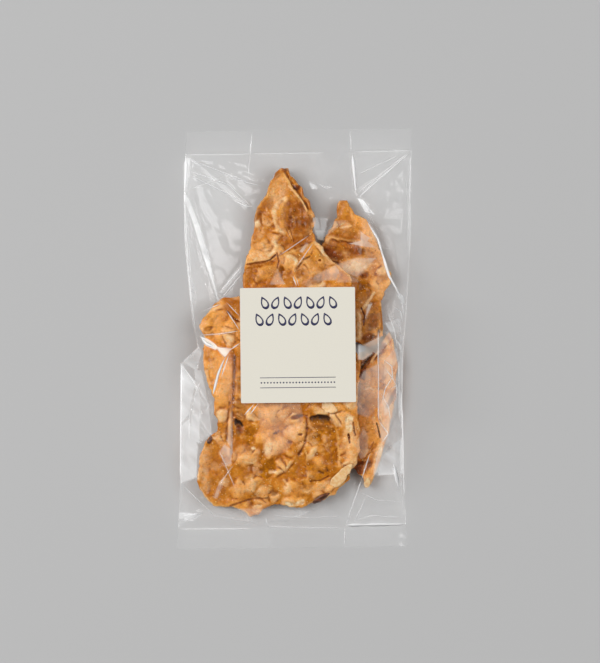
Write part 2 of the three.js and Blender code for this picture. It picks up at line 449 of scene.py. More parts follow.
behindPiece = {
    "name": "brittle_behind", "seed": 23, "centre": (28, 28), "lift": 0.7, "tilt": 0.0,
    "bend": 0.0, "thickness": 6.0, "rounding": 0.8, "bed": 0.55,
    "outline": [
        (19.4, 61.4), (22.6, 61.8), (23.9, 59.1), (26.2, 55.5), (31.2, 53.2), (33.9, 49.6),
        (35.7, 44.6), (39.4, 35), (43, 29.1), (42.1, 24.6), (39.8, 20.9), (38, 15), (38.7, 6.8),
        (38.4, 1.8), (36.5, -2), (32, -2.9), (28.6, -2), (22, 0), (14, 8), (11, 20), (10, 32),
        (10.6, 41), (12.2, 43.7), (15.4, 49.1), (18, 54.6), (18.2, 59.1)],
    "lumps": [
        (21.7, 57, 5.4, 3, 80, 0.4, "amber", 0.45), (21.2, 47.4, 5.4, 3.2, 12, 1.3, "skin", 0.2),
        (26, 42, 12, 7, -50, 0, "skin", 0.45), (28, 12, 14, 8, 80, 0, "skin", 0.45),
        (17.1, 38.9, 7.6, 5, 0, -0.3, "skin", 0.97), (25.5, 39.4, 7, 3.6, -10, 0, "skin", 0.9),
        (29.8, 28.7, 2.5, 2.2, 0, -0.3, "skin", 0.95), (30.3, 23.2, 4.2, 2.6, -20, -0.5, "amber", 1),
        (35.3, 24.1, 3.4, 2.7, 80, 1.1, "peach", 0.45), (28.3, 17.6, 3.2, 2.7, 40, 1.1, "skin", 0.4),
        (37.4, 27, 3.4, 1.8, 70, 0, "skin", 0.5),
        (34.2, 7.6, 6.4, 4.0, 70, 0.5, "skin", 0.8), (33, 0.6, 4.6, 2.4, 10, 0, "skin", 0.9),
        (37.1, 3.6, 1.5, 1, 60, 0, "dark", 0.9), (33, -1.8, 5, 1.2, 0, -0.2, "dark", 0.4),
        (25.5, 32, 9, 3.8, 10, 0.4, "cream", 0.7), (38, 36, 6, 2.6, -60, 0.2, "peach", 0.5),
        (40.5, 29, 4, 1.2, 70, 0.2, "amber", 0.7), (33.6, 47, 5, 2.4, -60, 0.2, "peach", 0.6)],
    "streaks": [
        (0.9, 0.3, "cream", 0.8, [(27.6, 12.4), (28.2, 6), (27.8, 0)]),
        (0.6, 0.3, "cream", 0.7, [(29.2, 12.6), (31.6, 16), (34.6, 20.4)]),
        (0.5, 0.2, "cream", 0.6, [(19.8, 49.4), (24.6, 50.2)]),
        (0.5, -0.4, "dark", 0.6, [(11.4, 36), (14.6, 34.6), (18.4, 34)]),
        (0.4, -0.4, "skin", 1, [(29, 13.6), (30.4, 10.4), (30, 6)]),
        (0.7, 0.2, "amber", 0.9, [(37.4, 14), (38, 8.4), (38, 4)]),
        (0.5, 0.2, "rim", 0.8, [(35.7, 44), (38.4, 37), (41.8, 30)])],
    "ledges": [((15, 44.5), (26, 43), 0.9, 3, "skin", 0.3)],
}
sidePiece = {
    "name": "brittle_side", "seed": 37, "centre": (35, -32), "lift": 0.7, "tilt": 0.0,
    "bend": 0.0, "thickness": 5.6, "rounding": 0.8, "bed": 0.55,
    "outline": [
        (29.4, -8.5), (33, -6.2), (36.8, -4), (39, 0.2), (41.4, 2.6), (43.2, 0), (43.8, -5),
        (45.4, -12), (44.2, -18.6), (44.8, -24), (43.4, -29), (42.6, -35), (41, -42),
        (39.6, -45.6), (37.8, -52), (36, -58), (34.2, -63), (32.4, -66), (30.4, -64.6),
        (29.4, -61), (27.6, -60.2), (25.8, -57.4), (24, -50), (23, -35), (24.5, -20), (27.6, -12)],
    "lumps": [
        (36.6, -8, 2.4, 1.4, 50, 0.3, "amber", 0.9), (31.4, -10.6, 2.2, 0.8, 50, 0.3, "amber", 0.9),
        (32.6, -17, 7, 4.4, 75, 0.5, "amber", 0.45), (32.6, -27, 6, 5, 20, 0.9, "skin", 0.4),
        (39.6, -9, 3.4, 2.2, 40, 0.7, "peach", 0.5), (41.4, -16, 5, 2.4, 84, 0.6, "cream", 0.45),
        (38.2, -20, 3.6, 1.6, 70, -0.3, "skin", 0.4), (39.4, -29, 5, 2.4, 76, 0.5, "peach", 0.6),
        (42, -35, 6, 2, 82, 0.4, "peach", 0.8), (34.6, -39.6, 7, 5.4, 66, 0.9, "skin", 0.3),
        (29.6, -46, 8, 3, 86, 0.2, "skin", 0.55), (37, -50, 6, 1.8, 66, 0.4, "cream", 0.8),
        (40.6, -18.4, 2.4, 1.2, 30, 0.6, "peach", 0.5), (42.6, -11, 2.2, 1.4, 70, 0.5, "cream", 0.6),
        (39.2, -24.6, 2.6, 1.1, -50, 0.6, "skin", 0.3), (42.4, -30.6, 2, 1.2, 80, 0.5, "cream", 0.5),
        (29.4, -57, 3.6, 2.6, 40, 0.5, "skin", 1), (32.4, -56, 4.4, 1.6, 60, 0.4, "skin", 0.9),
        (34.6, -57, 3.4, 1.2, 72, 0.3, "peach", 0.9), (31.8, -63.4, 2.8, 1.8, 74, 0.4, "peach", 0.9)],
    "streaks": [
        (1.8, -0.3, "skin", 1,
         [(39, -3.4), (36.4, -6), (33.2, -8), (30.4, -10.8), (28.8, -13.4), (29.8, -16.4)]),
        (0.8, -0.4, "dark", 0.9, [(33.6, -6.8), (31.6, -9.2), (29.2, -12.6)]),
        (0.5, 0.3, "cream", 0.7, [(36.6, -5.6), (34.6, -8), (33.4, -10)]),
        (0.9, -0.2, "dark", 0.5, [(28.3, -20), (27.4, -24), (27, -30), (28, -33)]),
        (0.9, 0.3, "skin", 1, [(44, -23), (42.4, -26.6), (40.6, -30)]),
        (0.35, -0.4, "dark", 0.8, [(35.8, -37.4), (36.6, -40), (37.4, -43.6)]),
        (0.5, 0.3, "skin", 0.8, [(34.6, -45.6), (32.4, -50), (30.4, -53.8)]),
        (0.4, 0.2, "cream", 0.7, [(30.4, -22.4), (32.6, -21.6), (34.6, -22.6)])],
    "ledges": [((36, -33), (41.5, -44), 0.5, 3, "peach", 0.5)],
}
frontPiece = {
    "name": "brittle_front", "seed": 53, "centre": (-8, -36), "lift": 8.0, "tilt": 0.085,
    "bend": -0.00256, "thickness": 6.2, "rounding": 0.9, "bed": 0.7,
    "outline": [
        (-25, 19.2), (-31.6, 18.6), (-37, 14.8), (-41.4, 9), (-42.8, 5.2), (-41.2, 2.4),
        (-39.6, -0.6), (-41, -4.6), (-40.9, -11.5), (-39.9, -16), (-38.5, -20.5), (-37.2, -24.5),
        (-36.3, -26.3), (-36.2, -32.9), (-34.6, -36), (-35.1, -40.8), (-38.6, -43.4),
        (-40.8, -47.4), (-42.9, -52.6), (-43.6, -62.7), (-41.5, -68.6), (-37, -74.5),
        (-28.4, -74.6), (-22.8, -77.2), (-20, -79.2), (-16.2, -77.9), (-14.2, -75.2),
        (-7.1, -73.8), (-1.9, -74.8), (2.9, -75.2), (6, -73.1), (11.6, -71.7), (17.1, -68.9),
        (19.9, -65.8), (24.1, -62.7), (24.2, -59.6), (26.8, -56), (28.6, -49), (27.6, -38),
        (27.4, -27), (28.4, -10), (27, -5.5), (18, -4.5), (0, -4), (-8, -3), (-17, 2)],
    "lumps": [
        # The cream lumps at (-19, -48.5), (-12.2, -48.2) and (7.4, -50.2) are painted highlights on lumps.
        (-25.5, -37.2, 2.7, 1.7, -38, -0.9, "dark", 1), (-25, -40, 2.6, 1.6, 105, -0.3, "skin", 0.95),
        (-25.6, -41.6, 1.6, 0.7, 110, 0, "dark", 0.5), (-20.9, -46.4, 1.0, 0.8, 0, -0.1, "dark", 0.75),
        (-19, -48.5, 1.0, 0.6, 0, 0.2, "cream", 1), (-20.4, -41.6, 6, 3.0, 88, -0.5, "amber", 0.85),
        (-36.5, -54, 6, 6.5, 10, -0.7, "amber", 0.45), (-36.5, -66, 7, 6, 80, -0.6, "amber", 0.5),
        (-29.6, -63, 5, 2.4, 95, -0.3, "amber", 0.5), (-21.8, -53, 5.0, 3.2, 8, 1.1, "peach", 0.7),
        (-19.6, -58.4, 4.4, 2.8, 0, 0.2, "skin", 0.45), (-20.2, -65, 3.2, 2.9, 60, 1.0, "peach", 0.85),
        (-25.6, -66.5, 3, 2.2, 60, 0.5, "peach", 0.4), (-12.4, -57.6, 4.2, 3.6, 60, -0.7, "amber", 1),
        (-14.5, -67.6, 3.6, 2.6, 10, 0.8, "peach", 0.7), (-9.8, -68.2, 2.2, 1.8, 20, 0.1, "skin", 0.7),
        (-3.7, -66, 3, 2, 70, 0.6, "peach", 0.9), (1.6, -66.4, 3, 3.2, 70, 0.6, "skin", 0.35),
        (0.6, -34.4, 3.4, 1.1, 12, -0.6, "skin", 0.9), (-8.8, -41.4, 1.6, 0.5, 25, -0.2, "skin", 1),
        (0.4, -41.6, 4.6, 4.8, 0, 1.5, "peach", 0.75), (2, -42.3, 1.2, 0.6, 0, -0.1, "skin", 0.8),
        (-2.9, -45.8, 1.6, 0.9, 0, -0.1, "skin", 0.8), (2.6, -47, 2.6, 2, 40, 0.4, "peach", 0.6),
        (-8, -47, 4.5, 3, 40, 0.9, "peach", 0.7), (-12.2, -48.2, 4.2, 2.2, 76, 0.6, "cream", 0.7),
        (-10, -33, 5.4, 4.2, 0, 0.8, "peach", 0.45), (-24.6, -49, 2.6, 2, 30, 0.5, "peach", 0.6),
        (7.8, -30.6, 3.0, 2.6, 0, 0.7, "skin", 0.2), (11.6, -36.4, 5, 3.0, -3, -0.3, "skin", 0.95),
        (11.4, -35.2, 4.8, 2.0, -3, -0.9, "dark", 1), (12.4, -41.2, 7.8, 5.6, -8, -0.9, "amber", 0.98),
        (10.4, -43.6, 5.4, 4.4, 0, -0.4, "amber", 0.98), (11.5, -38.8, 5.4, 1.8, -3, 0, "skin", 0.5),
        (4.6, -65, 3.6, 3, 30, 0, "amber", 0.85), (25, -56, 5, 2.4, 60, 0.3, "cream", 0.6),
        (8.8, -42.3, 1.1, 0.9, 0, 0.2, "dark", 0.5), (2, -72.6, 2.4, 1.3, 30, 0.4, "cream", 1),
        (-3.2, -73.2, 2.0, 1.1, -20, 0.4, "cream", 1), (-17.2, -74.4, 2.2, 1.0, 12, 0.4, "cream", 1),
        (7.4, -50.2, 3.6, 1.5, 62, 1.1, "cream", 0.9), (8.8, -54.8, 3.4, 2.4, 30, 1.0, "plain", 0),
        (16, -49, 7, 3.4, 80, 0.1, "amber", 0.75), (24, -45, 11, 3.6, 92, 0.7, "peach", 0.75),
        (23.4, -36.9, 4.2, 1.8, 92, 0.5, "cream", 1), (23.4, -43, 1.3, 0.6, 100, 0, "skin", 1),
        (3.5, -57, 6, 4.4, 20, -0.5, "amber", 0.9), (10.6, -60.6, 6.4, 3.2, 25, -0.4, "amber", 0.85),
        (11.6, -65.2, 4.6, 2.0, 22, 0.3, "peach", 0.6), (10.9, -70.3, 4.6, 1.2, 27, 0.1, "dark", 0.6),
        (23.6, -60.4, 1.8, 1.3, 55, 0, "amber", 0.7), (17.3, -67.2, 2.6, 1.2, 35, 0, "amber", 0.5),
        (-37, 8, 5, 6, 30, 1.0, "plain", 0), (-38.8, 4.4, 2.4, 1.2, 20, 0, "skin", 0.45),
        (-33, -12, 5, 7, 0, 1.0, "peach", 0.3), (-32.4, -22, 3, 5, -10, 0.6, "peach", 0.5),
        (-28.5, -47, 4, 2, 80, 0.5, "plain", 0), (-16.4, -75.4, 4.4, 2.4, 8, 0.4, "peach", 0.5),
        (14.8, -43.4, 3.4, 3.4, 0, -0.2, "amber", 0.98), (-17.4, -33.4, 2.4, 2.6, 0, 0, "skin", 0.4),
        (-6, -33.4, 3.2, 2.8, 0, 0.3, "peach", 0.7)],
    "streaks": [
        (0.8, -0.5, "amber", 1, [(-27, -8), (-27.4, -20), (-28, -34), (-28.2, -45), (-28.8, -52)]),
        (0.6, -0.4, "amber", 0.9, [(-29.2, -28), (-30.2, -36), (-30.6, -45)]),
        (0.8, 0.1, "peach", 0.55, [(-29.2, -33), (-29.4, -40), (-30, -49)]),
        (1.8, 0.2, "peach", 0.6, [(-39.6, -49), (-40.4, -57), (-40, -66)]),
        (0.45, 0.1, "cream", 0.9, [(-42.9, -51), (-43.6, -57), (-43.3, -62)]),
        (0.4, 0.1, "cream", 0.7, [(-42.4, -66), (-40.2, -70), (-37.6, -73)]),
        (0.5, 0, "skin", 0.9, [(-27.4, -33.6), (-25.6, -34), (-24.2, -35)]),
        # This cream streak is a painted highlight in an arc round a lump.
        (0.7, 0.3, "cream", 0.75, [(-11.4, -59), (-8, -59.2), (-4.4, -57.6), (-2.4, -54.6)]),
        (0.7, 0.3, "cream", 0.6, [(-19.6, -62.2), (-18.4, -64), (-19, -67)]),
        (0.4, 0.2, "cream", 0.7, [(-22.8, -54.6), (-19.6, -55), (-17.8, -54)]),
        (0.6, -0.5, "skin", 0.8, [(4.6, -34), (5, -39), (4, -46), (1.4, -51)]),
        (0.6, 0.1, "peach", 0.5, [(5.8, -38.4), (8.4, -40.6)]),
        (0.6, 0.2, "peach", 0.6, [(12.6, -43), (12.8, -45.4)]),
        (0.5, -0.3, "dark", 0.6, [(13.6, -57), (14, -58.4)]),
        (0.6, -0.3, "dark", 0.6, [(10.4, -58.8), (12, -59.4)]),
        (0.4, -0.3, "skin", 0.9, [(25.4, -37), (25.8, -41), (26.4, -42.6)]),
        (0.4, -0.3, "skin", 0.9, [(23.4, -43.4), (23.8, -46)]),
        (0.5, 0.3, "cream", 0.7, [(20.6, -55.6), (24, -54.2), (26.4, -55)]),
        (0.35, -0.4, "skin", 0.8, [(6.4, -63), (11, -62.6), (14.4, -60.8)]),
        (0.6, 0.2, "cream", 0.6, [(-5.4, -62.6), (-3.2, -64.8), (-4, -68)]),
        (0.4, -0.3, "skin", 0.8, [(-29, -74), (-20, -71), (-13, -70.6)]),
        (0.5, 0.2, "peach", 0.9, [(-38, -43), (-34.8, -44.6), (-32, -44.4)]),
        (0.7, 0.4, "peach", 0.8, [(-41, 10.4), (-37, 12.8), (-33, 14.4)]),
        (0.5, -0.5, "skin", 0.8, [(-30, 12), (-27.4, 9), (-25, 7.6)])],
    "ledges": [
        ((4, -49), (5, -62), 0.5, 3, "amber", 0.3), ((17.5, -40), (19, -56), 0.5, 2.5, "amber", 0.6)],
}
brittlePieces = [tallPiece, behindPiece, sidePiece, frontPiece]
brittleMake = {
    "around": 560, "topRings": 92, "wallRings": 9, "bottomRings": 24,
    "rimDrop": 0.8,  # how far the top and underside close in at the rim
    "lowest": 0.4,  # the underside stops here, on the back of the bag
    "breaks": ((1.1, 7.0), (0.9, 2.4), (0.5, 1.1)),  # depth and spacing of the broken edge
    "waves": ((1.4, 11.0), (0.9, 4.5), (0.4, 1.9), (0.14, 0.9)),  # depth and spacing on the top
    "nutSpacing": 6.5,  # of the nuts just under the glaze
    "crestReach": 1.0,  # how far round a point its height is compared for crests and hollows
}


# The outline is drawn, resampled at even steps and pushed in and out along its rays by
# noise of three sizes. lean is the cosine between each ray and the outline's outward direction.
def breakOutline(piece):
    steps = brittleMake["around"]
    corners = np.array(piece["outline"], float) - piece["centre"]
    corners = corners[np.argsort(np.arctan2(corners[:, 1], corners[:, 0]))]
    closed = np.vstack([corners, corners[:1]])
    along = np.concatenate([[0], np.cumsum(np.hypot(*np.diff(closed, axis=0).T))])
    even = np.linspace(0, along[-1], steps, endpoint=False)
    x, y = np.interp(even, along, closed[:, 0]), np.interp(even, along, closed[:, 1])
    x, y = ((np.roll(v, 1) + 2 * v + np.roll(v, -1)) / 4 for v in (x, y))
    reach = np.hypot(x, y)
    for number, (depth, cell) in enumerate(brittleMake["breaks"]):
        reach = reach + depth * (smoothNoise(x, y, cell, piece["seed"] + number) - 0.5)
    angle = np.arctan2(y, x)
    order = np.argsort(angle)
    angle, reach = angle[order], reach[order]
    x, y = reach * np.cos(angle), reach * np.sin(angle)
    dx, dy = np.roll(x, -1) - np.roll(x, 1), np.roll(y, -1) - np.roll(y, 1)
    lean = np.abs(x * dy - y * dx) / (np.hypot(dx, dy) * reach + 1e-9)
    for _ in range(4):
        lean = (np.roll(lean, 1) + lean + np.roll(lean, -1)) / 3
    piece.update(angle=angle, reach=reach, lean=np.clip(lean, 0.3, 1))


# The bed: one soft mound for each cell of the cellular noise, of random size, some of them pale
# or in their skins. Over it lie the lumps, each half a bell and half a flat-topped
# mound of its rise, with an uneven edge, the streaks, each a bell across its line, and the ledges,
# where the surface drops across a line and comes back further out. Returns the height and how
# much of each tone is at every point.
def lumpsAt(piece, x, y):
    seed = piece["seed"]
    wobble = smoothNoise(x, y, 2.4, seed + 40) + 0.5 * smoothNoise(x, y, 0.9, seed + 43) - 0.75
    warpX = x + 3.0 * (smoothNoise(x, y, 5, seed + 41) - 0.5)
    warpY = y + 3.0 * (smoothNoise(x, y, 5, seed + 44) - 0.5)
    near, gap, owner = cellNoise(warpX, warpY, brittleMake["nutSpacing"], seed + 42)
    size = 0.35 + 0.3 * np.modf(owner * 7)[0]
    mound = smoothStep(size + 0.12, 0.05, near) * smoothStep(0, 0.3, gap)
    height = piece["bed"] * (0.5 + owner) * mound
    whole = smoothStep(size, 0.6 * size, near + 0.12 * wobble)
    clear = smoothStep(0.55, 0.35, smoothNoise(x, y, 9, seed + 45))
    tones = {
        "cream": 0.7 * whole * (owner > 0.93), "peach": 0.55 * whole * (np.abs(owner - 0.78) < 0.14),
        "skin": 0.5 * whole * (np.abs(owner - 0.3) < 0.05), "dark": np.zeros_like(x),
        "amber": 0.5 * clear * (1 - mound), "rim": np.zeros_like(x)}

    def paint(inside, tone, strength):  # lays one tone over the others
        for key in tones:
            kept = tones[key] * (1 - inside * max(strength, 0.5))
            tones[key] = np.maximum(kept, strength * inside) if key == tone else kept

    for cx, cy, long, wide, turn, rise, tone, strength in piece["lumps"]:
        r = ellipseRadius(x, y, cx, cy, long, wide, turn)
        within = smoothStep(1.2, 0.7, r)
        height = height * (1 - 0.7 * within) + rise * (0.5 * np.exp(-2 * r ** 2) + 0.5 * np.exp(-r ** 4))
        soft = 0.5 * (strength < 1)  # glazed over, so its colour fades out at its edge
        paint(smoothStep(1.12 + 0.4 * soft, 0.84 - soft, r + 0.45 * wobble), tone, strength)
    for halfWidth, rise, tone, strength, corners in piece["streaks"]:
        r = pathDistance(x, y, corners) / halfWidth
        height = height + rise * np.exp(-r ** 2)
        soft = 0.4 * (strength < 1)
        paint(smoothStep(1.2 + soft, 0.6 - soft, r + 0.7 * wobble), tone, strength)
    # Each ledge also paints a highlight along its line, in the rim tone.
    for start, end, drop, reach, tone, strength in piece["ledges"]:
        along, off, length = lineOffsets(x, y, start, end)
        off = off + 0.7 * wobble
        within = smoothStep(-1, 1.5, along) * smoothStep(-1, 1.5, length - along)
        beyond = smoothStep(0.3, -0.4, off) * smoothStep(-reach - 2, -reach, off) * within
        height = height - drop * beyond
        tones["rim"] = np.maximum(tones["rim"], 0.8 * np.exp(-((off - 0.5) / 0.5) ** 2) * within)
        if tone in tones:
            tones[tone] = np.maximum(tones[tone] * (1 - beyond), strength * beyond)
    return height, tones


# How far in from the rim any point is, the heights of the piece's underside and top over it, and
# its tones. Near the rim both faces close in on each other along a quarter of an ellipse. The
# underside goes no lower than the bag's back.
def pieceAt(piece, x, y):
    dx, dy = x - piece["centre"][0], y - piece["centre"][1]
    angle = np.arctan2(dy, dx)
    reach = np.interp(angle, piece["angle"], piece["reach"], period=2 * math.pi)
    lean = np.interp(angle, piece["angle"], piece["lean"], period=2 * math.pi)
    rim = (reach - np.hypot(dx, dy)) * lean
    inward = np.clip(rim / piece["rounding"], 0, 1)
    full = np.sqrt(1 - (1 - inward) ** 2)
    base = piece["lift"] + piece["tilt"] * dy + piece["bend"] * dy ** 2
    waves = sum(depth * (smoothNoise(x, y, cell, piece["seed"] + 60 + number) - 0.5)
                for number, (depth, cell) in enumerate(brittleMake["waves"]))
    lumps, tones = lumpsAt(piece, x, y)
    fade = smoothStep(0, 3.0, rim)
    closing = brittleMake["rimDrop"] * (1 - full)
    top = base + piece["thickness"] - closing + (waves + lumps) * (0.3 + 0.7 * fade)
    under = np.maximum(base + closing, brittleMake["lowest"])
    tones["high"] = np.clip(0.45 + (waves + lumps - piece["bed"] * 0.4) / 1.4, 0, 1)
    # Painted highlight in patches along the rim, in the rim tone.
    rimHighlightPatches = smoothStep(0.4, 0.7, smoothNoise(x, y, 2.4, piece["seed"] + 70))
    edge = 0.8 * smoothStep(1.1, 0.2, rim) * rimHighlightPatches
    tones["rim"] = np.maximum(tones["rim"], edge)
    return rim, under, top, tones


# The broken edge between the top and underside: small plane facets and grit push the wall in and
# out, and cut nuts show in it as pale patches.
def brokenWall(piece, top, under):
    arc = np.concatenate([[0], np.cumsum(np.hypot(np.diff(piece["reach"] * np.cos(piece["angle"])),
                                                  np.diff(piece["reach"] * np.sin(piece["angle"]))))])
    down = np.linspace(0, 1, brittleMake["wallRings"] + 2)[1:-1, None]
    z = top + (under - top) * down
    along = arc[None, :] + 0 * z
    push = 0.9 * faceted(flatGround, along, z, (2.6, 2.1), 20, 1, piece["seed"] + 80) - 0.35
    push = push + 0.4 * (smoothNoise(along, z, 0.9, piece["seed"] + 81) - 0.5)
    push = push * np.sin(math.pi * down) ** 0.5 - 0.5 * down * (1 - down)
    owner = cellNoise(along, z, 3.4, piece["seed"] + 82)
    size = 0.2 + 0.4 * np.modf(owner[2] * 9)[0]
    pale = smoothStep(size + 0.1, size - 0.05, owner[0]) * (owner[2] > 0.72)
    brown = smoothStep(0.12, 0.02, owner[1]) * (owner[2] > 0.5)
    return z, push, {"cream": pale, "skin": 0.8 * brown, "amber": 0.4 + 0 * z, "high": 0.4 + 0.4 * push}


def makeBrittle(piece):
    inTop = 1 - (1 - np.linspace(0, 1, brittleMake["topRings"])) ** 1.6  # rings crowd at the rim
    inUnder = 1 - (1 - np.linspace(1, 0, brittleMake["bottomRings"])) ** 1.6
    cos, sin = np.cos(piece["angle"])[None, :], np.sin(piece["angle"])[None, :]
    middle = piece["centre"]

    def face(share):
        radius = share[:, None] * piece["reach"][None, :]
        x, y = middle[0] + radius * cos, middle[1] + radius * sin
        return x, y, pieceAt(piece, x, y)

    x, y, (rim, under, top, tones) = face(inTop)
    # Crest: how far each point of the top stands above the points round it. The material paints shade where
    # it lies low and a highlight where it stands high.
    reach = brittleMake["crestReach"]
    sides = [(reach, 0), (-reach, 0), (0, reach), (0, -reach)]
    around = sum(pieceAt(piece, x + dx, y + dy)[2] for dx, dy in sides) / 4
    tones["crest"] = np.where(rim > reach, np.clip(0.5 + (top - around) / 0.6, 0, 1), 0.5)
    lowX, lowY, (_, low, _, lowTones) = face(inUnder)
    wallZ, push, wallTones = brokenWall(piece, top[-1:], low[:1])
    radius = piece["reach"] + push
    allX = np.vstack([x, middle[0] + radius * cos, lowX])
    allY = np.vstack([y, middle[1] + radius * sin, lowY])
    allZ = np.vstack([top, wallZ, low])
    # On the broken wall the crest follows the push: painted highlight where it stands out, painted shade
    # where it is pushed in.
    wallTones["crest"] = 0.5 + 0.5 * push
    lowTones["crest"] = 0.5 + 0 * low
    attributes = {key: np.vstack([part.get(key, np.zeros_like(z)) for part, z in
                                  ((tones, top), (wallTones, wallZ), (lowTones, low))]) for key in tones}
    points = np.stack([allX, allY, allZ], axis=-1).reshape(-1, 3)
    addMesh(piece["name"], points, gridFaces(len(allZ), len(piece["angle"])),
            sugarMaterial, attributes, merge=0.002)


print("stage: brittle")
for piece in brittlePieces:
    breakOutline(piece)
    makeBrittle(piece)

# Bare nuts: piece, x, y, half length, half width, half thickness, turn, how far their middle
# stands above the sugar, and the share of their height left where they are cut flat.
nuts = {
    "rings": 18, "around": 26,
    "places": [
        (frontPiece, 20.3, -60.6, 7.2, 2.2, 1.5, 48, 0.3, 0.35),
        (frontPiece, 14.6, -30.6, 4.0, 2.4, 1.6, -18, 0.1, 0.4),
        (frontPiece, -38.0, -44.4, 2.4, 1.0, 1.0, 58, -0.6, 1.0),
        (frontPiece, 11.2, -70.6, 4.6, 1.2, 1.2, 30, -0.5, 1.0),
        (sidePiece, 31.6, -63.8, 2.4, 1.2, 0.9, 76, -0.1, 0.5)],
}


# An almond lying on its side: along its length its half width is that of an ellipse, wider at one
# end, and its cross-sections are ellipses too. Where it is cut its upper side stops at a plane.
def nutShape(piece, cx, cy, long, wide, thick, turn, stand, flat):
    t = -np.cos(np.linspace(0, math.pi, nuts["rings"]))[:, None]
    a = np.linspace(0, 2 * math.pi, nuts["around"], endpoint=False)[None, :]
    r = np.sqrt(np.clip(1 - t ** 2, 0, 1)) * (1 - 0.25 * t)
    side, up = wide * r * np.cos(a), thick * r * np.sin(a)
    rough = 1 + 0.6 * (smoothNoise(long * t + cx + 0 * a, side + up + cy, 1.5, 90) - 0.5)
    level = flat * thick + 0.25 * (smoothNoise(long * t + cx + 0 * a, side + cy, 1.5, 91) - 0.5)
    cut = (up > level) & (flat < 1)
    up = np.where(cut, level, up)
    c, s = math.cos(math.radians(turn)), math.sin(math.radians(turn))
    x = cx + long * t * c - side * rough * s
    y = cy + long * t * s + side * rough * c
    spots = np.array([[cx, cx + 1.5, cx - 1.5, cx, cx], [cy, cy, cy, cy + 1.5, cy - 1.5]])
    top = pieceAt(piece, spots[0], spots[1])[2]
    rise = np.clip([(top[1] - top[2]) / 3, (top[3] - top[4]) / 3], -0.5, 0.5)
    z = top[0] + stand + rise[0] * (x - cx) + rise[1] * (y - cy) + up
    points = np.stack([x, y, z], axis=-1).reshape(-1, 3)
    bare = np.where(flat < 1, smoothStep(-0.2, 0.2, (up - 0.3 * level) / thick), 0)
    return points, gridFaces(nuts["rings"], nuts["around"]).tolist(), bare.ravel()


points, faces, bare = joinParts([nutShape(*place) for place in nuts["places"]])
addMesh("nuts", points, faces, nutMaterial, {"cut": bare}, merge=0.002)

# Crumbs of nut and bubbles of set sugar: tries, smallest and largest half size, and the size of the patches
# they gather in.
grains = {"tries": {"brittle_front": 900, "brittle_tall": 260, "brittle_behind": 160, "brittle_side": 90},
          "sizes": (0.16, 0.42), "patch": 7.0}


# Eight-sided crumbs, each six points at the ends of three axes, half sunk in the sugar. They gather
# in patches, where a broad noise is high.
def grainsOn(piece):
    draw = np.random.default_rng(piece["seed"] + 200)
    low, high = np.min(piece["outline"], axis=0), np.max(piece["outline"], axis=0)
    spots = low + (high - low) * draw.random((grains["tries"][piece["name"]], 2))
    rim, under, top, tones = pieceAt(piece, spots[:, 0], spots[:, 1])
    patch = smoothNoise(spots[:, 0], spots[:, 1], grains["patch"], piece["seed"] + 201)
    kept = (rim > 0.8) & (patch + 0.5 * tones["amber"] > 0.4 + 0.5 * draw.random(len(spots)))
    kept = kept & (tones["dark"] < 0.2)
    spots, top = spots[kept], top[kept]
    small, large = grains["sizes"]
    size = small + (large - small) * draw.random((len(spots), 3)) ** 2
    ends = np.array([(1, 0, 0), (0, 1, 0), (-1, 0, 0), (0, -1, 0), (0, 0, 1), (0, 0, -1)])
    turn = draw.random(len(spots))[:, None] * math.pi
    x = ends[:, 0] * size[:, :1] * np.cos(turn) - ends[:, 1] * size[:, 1:2] * np.sin(turn)
    y = ends[:, 0] * size[:, :1] * np.sin(turn) + ends[:, 1] * size[:, 1:2] * np.cos(turn)
    z = ends[:, 2] * size[:, 2:] + top[:, None] + 0.05
    points = np.stack([x + spots[:, :1], y + spots[:, 1:], z], axis=-1)
    sides = np.array([(i, (i + 1) % 4, 4) for i in range(4)] + [((i + 1) % 4, i, 5) for i in range(4)])
    faces = (6 * np.arange(len(spots))[:, None, None] + sides[None]).reshape(-1, 3)
    return points.reshape(-1, 3), faces.tolist(), np.ones(6 * len(spots))


points, faces, bare = joinParts([grainsOn(piece) for piece in brittlePieces])
addMesh("nut_grains", points, faces, nutMaterial, {"cut": bare})

